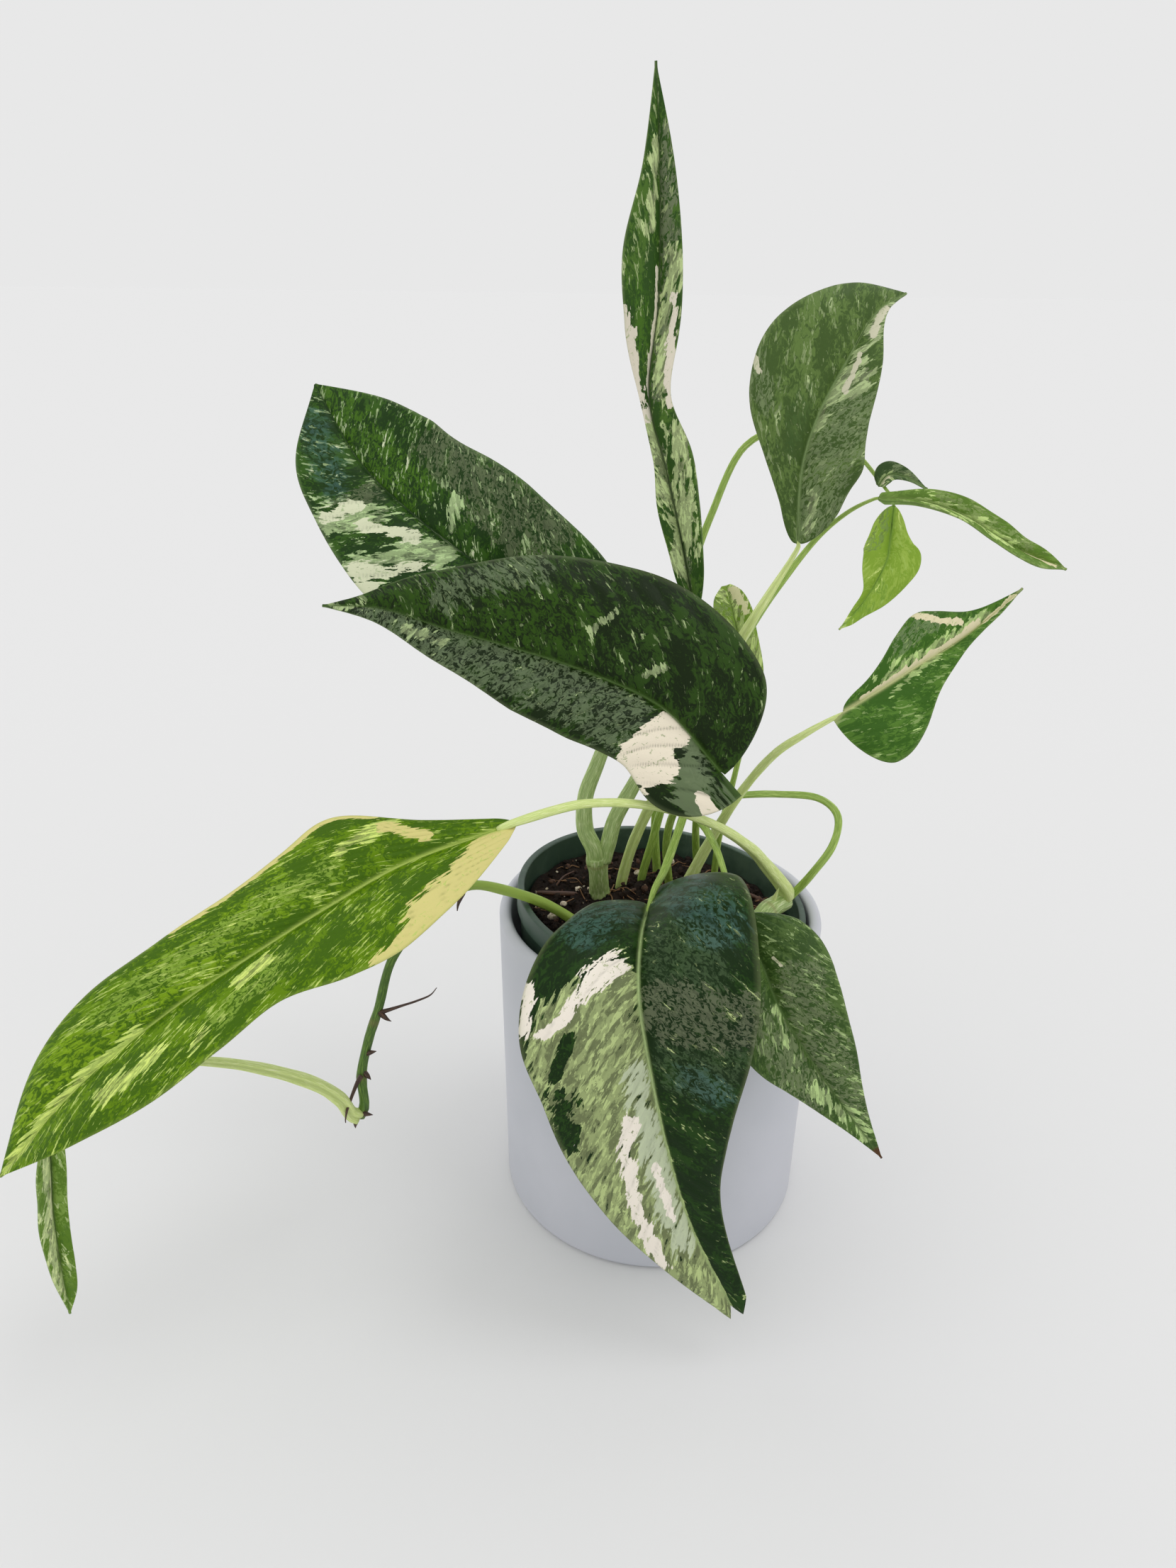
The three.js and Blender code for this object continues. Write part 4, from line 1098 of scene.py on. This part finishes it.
def scatterLumps(name, material):
    # one lump, copied with its own size, turn and place over the soil
    look = litter[name]
    count = look["count"]
    deselectAll()
    bpy.ops.mesh.primitive_ico_sphere_add(subdivisions=look["facets"], radius=1)
    pattern = bpy.context.object
    shape = getCo(pattern.data)
    faces = np.array([list(p.vertices) for p in pattern.data.polygons])
    reach = soilLook["radius"] * 0.95 * np.sqrt(scatter.random(count))
    angle = scatter.random(count) * 2 * math.pi
    x, y = reach * np.cos(angle), reach * np.sin(angle)
    z = soilTop(x, y)
    vertices, polygons = [], []
    for i in range(count):
        size = look["small"] + (look["large"] - look["small"]) * scatter.random() ** 3
        lump = shape * (1 + 0.35 * (scatter.random((len(shape), 1)) - 0.5))
        lump = lump * (1, 0.55 + 0.4 * scatter.random(), 0.5 + 0.3 * scatter.random())
        spin = np.array(Quaternion(scatter.normal(size=4)).normalized().to_matrix())
        vertices.append(lump @ spin.T * size + (x[i], y[i], z[i] + 0.35 * size))
        polygons.append(faces + i * len(shape))
    bpy.data.objects.remove(pattern, do_unlink=True)
    mesh = bpy.data.meshes.new(name)
    placed = inPot(np.concatenate(vertices)) * mm
    mesh.from_pydata(placed.tolist(), [], np.concatenate(polygons).tolist())
    lumps = bpy.data.objects.new(name, mesh)
    bpy.context.scene.collection.objects.link(lumps)
    finishPiece(lumps, look["slot"], material)


scatterLumps("soil_crumbs", mix.material)
chip = Paint("bark_chips")
chipGrain = chip.noise(chip.stretch(chip.place(), (1, 3, 2)), 300, 5, 0.7)
chip.relief(chipGrain, 0.6, 0.0006)
chipColor = chip.mix(chip.step(chipGrain, 0.35, 0.65), (0.03, 0.014, 0.009, 1), (0.13, 0.06, 0.036, 1))
chip.finish(chipColor, 0.85)
scatterLumps("bark_chips", chip.material)

perlite = Paint("perlite_grain")
pores = perlite.noise(perlite.place(), 700, 4, 0.7)
perlite.relief(pores, 0.7, 0.0006)
perliteColor = perlite.mix(perlite.step(pores, 0.35, 0.6), (0.42, 0.32, 0.22, 1), (0.8, 0.7, 0.56, 1))
perlite.finish(perliteColor, 0.85)
# where each larger grain lies, and its size
grains = [
    (7.6, 45.5, 140, 1.9), (-8, 32, 141, 1.7), (-35.7, 11.5, 143.6, 1.5), (-46.6, -13, 144, 1.8),
    (-42, -2, 144, 1.3), (30, -38, 137, 1.6),
]
for i, (x, y, z, size) in enumerate(grains, 1):
    deselectAll()
    bpy.ops.mesh.primitive_ico_sphere_add(subdivisions=4, radius=1)
    crumb = bpy.context.object
    crumb.name = f"perlite_{i}_fine"
    ball = getCo(crumb.data)
    knobs = np.array([
        1 + 0.28 * noise.noise(Vector(p) * 1.7 + Vector((i, 0, 0))) + 0.12 * noise.noise(Vector(p) * 5) for p in ball
    ])
    shape = ball * knobs[:, None] * (1.1 * size, 0.9 * size, 0.8 * size)
    setCo(crumb.data, (shape + (x, y, z + 0.5)) * mm)
    smooth(crumb)
    finishPiece(crumb, "perlite", perlite.material, f"perlite_{i}")
scatterLumps("perlite_dust", perlite.material)

fibreLook = litter["soil_fibres"]
fibres = []
for i in range(fibreLook["count"]):
    reach = fibreLook["reach"] * math.sqrt(scatter.random())
    angle = scatter.random() * 2 * math.pi
    heading = scatter.random() * 2 * math.pi
    eastward = np.cos(heading + scatter.normal(0, fibreLook["wander"], 4))
    northward = np.sin(heading + scatter.normal(0, fibreLook["wander"], 4))
    x = reach * math.cos(angle) + np.cumsum(np.r_[0, fibreLook["step"] * eastward])
    y = reach * math.sin(angle) + np.cumsum(np.r_[0, fibreLook["step"] * northward])
    keep = np.hypot(x, y) < fibreLook["edge"]
    if keep.sum() < 3:
        continue
    x, y = x[keep], y[keep]
    lift = 0.5 + 0.9 * scatter.random(len(x))
    route = inPot(np.stack([x, y, soilTop(x, y) + lift], axis=1))
    fibre = {"route": route, "radii": [0.3, 0.24, 0.1], "groove": 0, "steps": 14}
    fibres.append(makeStalk(f"fibre_{i}", fibre, 6))
deselectAll()
for fibre in fibres:
    fibre.select_set(True)
bpy.context.view_layer.objects.active = fibres[0]
bpy.ops.object.join()
fibres[0].name = "soil_fibres"
finishPiece(fibres[0], "aerial_root", stalkPaint("fibre_skin"))
print("potting mix done")

# Studio: a wide pale floor under an even sky, two soft suns and the camera
studio = {
    "floor": (0.768, 0.768, 0.768, 1), "floorSize": 1200,
    "horizon": 0.807, "topBoost": 0.2, "topFrom": 0.3, "topTo": 0.9,
    "camera": {"lens": 25, "place": (-0.032, -0.414, 0.388), "tilt": 65.7, "roll": 0.7},
    "suns": {
        "soft_sun": {"strength": 0.3, "angle": 22, "from": (0.38, -0.1, 1.0)},
        "soft_fill": {"strength": 0.25, "angle": 100, "from": (-0.8, -0.6, 0.5)},
    },
}
deselectAll()
bpy.ops.mesh.primitive_plane_add(size=studio["floorSize"])
floor = bpy.context.object
floor.name = "studio_floor"
floorPaint = Paint("studio_floor")
floorPaint.finish(studio["floor"], 1.0, **{"Specular IOR Level": 0.0})
floor.data.materials.append(floorPaint.material)

world = bpy.data.worlds.new("studio")
world.use_nodes = True
sky = world.node_tree
direction = sky.nodes.new("ShaderNodeSeparateXYZ")
sky.links.new(sky.nodes.new("ShaderNodeTexCoord").outputs["Generated"], direction.inputs[0])

overhead = sky.nodes.new("ShaderNodeMapRange")
overhead.interpolation_type = "SMOOTHSTEP"
overhead.inputs["From Min"].default_value = studio["topFrom"]
overhead.inputs["From Max"].default_value = studio["topTo"]
overhead.inputs["To Min"].default_value = studio["horizon"]
overhead.inputs["To Max"].default_value = studio["horizon"] + studio["topBoost"]
sky.links.new(direction.outputs["Z"], overhead.inputs["Value"])
sky.links.new(overhead.outputs["Result"], sky.nodes["Background"].inputs["Strength"])
sky.nodes["Background"].inputs["Color"].default_value = (1, 1, 1, 1)
bpy.context.scene.world = world

for sunName, look in studio["suns"].items():
    sunData = bpy.data.lights.new(sunName, "SUN")
    sunData.energy = look["strength"]
    sunData.angle = math.radians(look["angle"])
    sun = bpy.data.objects.new(sunName, sunData)
    bpy.context.scene.collection.objects.link(sun)
    sun.rotation_euler = Vector(look["from"]).to_track_quat("Z", "Y").to_euler()

view = studio["camera"]
cameraData = bpy.data.cameras.new("camera")
cameraData.lens = view["lens"]
cameraData.sensor_width = 36
cameraData.clip_start = 0.01
cameraData.clip_end = 2000
camera = bpy.data.objects.new("camera", cameraData)
bpy.context.scene.collection.objects.link(camera)
camera.matrix_world = (
    Matrix.Translation(view["place"])
    @ Matrix.Rotation(math.radians(view["tilt"]), 4, "X")
    @ Matrix.Rotation(math.radians(view["roll"]), 4, "Z")
)
bpy.context.scene.camera = camera
bpy.context.scene.view_settings.view_transform = "Standard"
print("studio done")
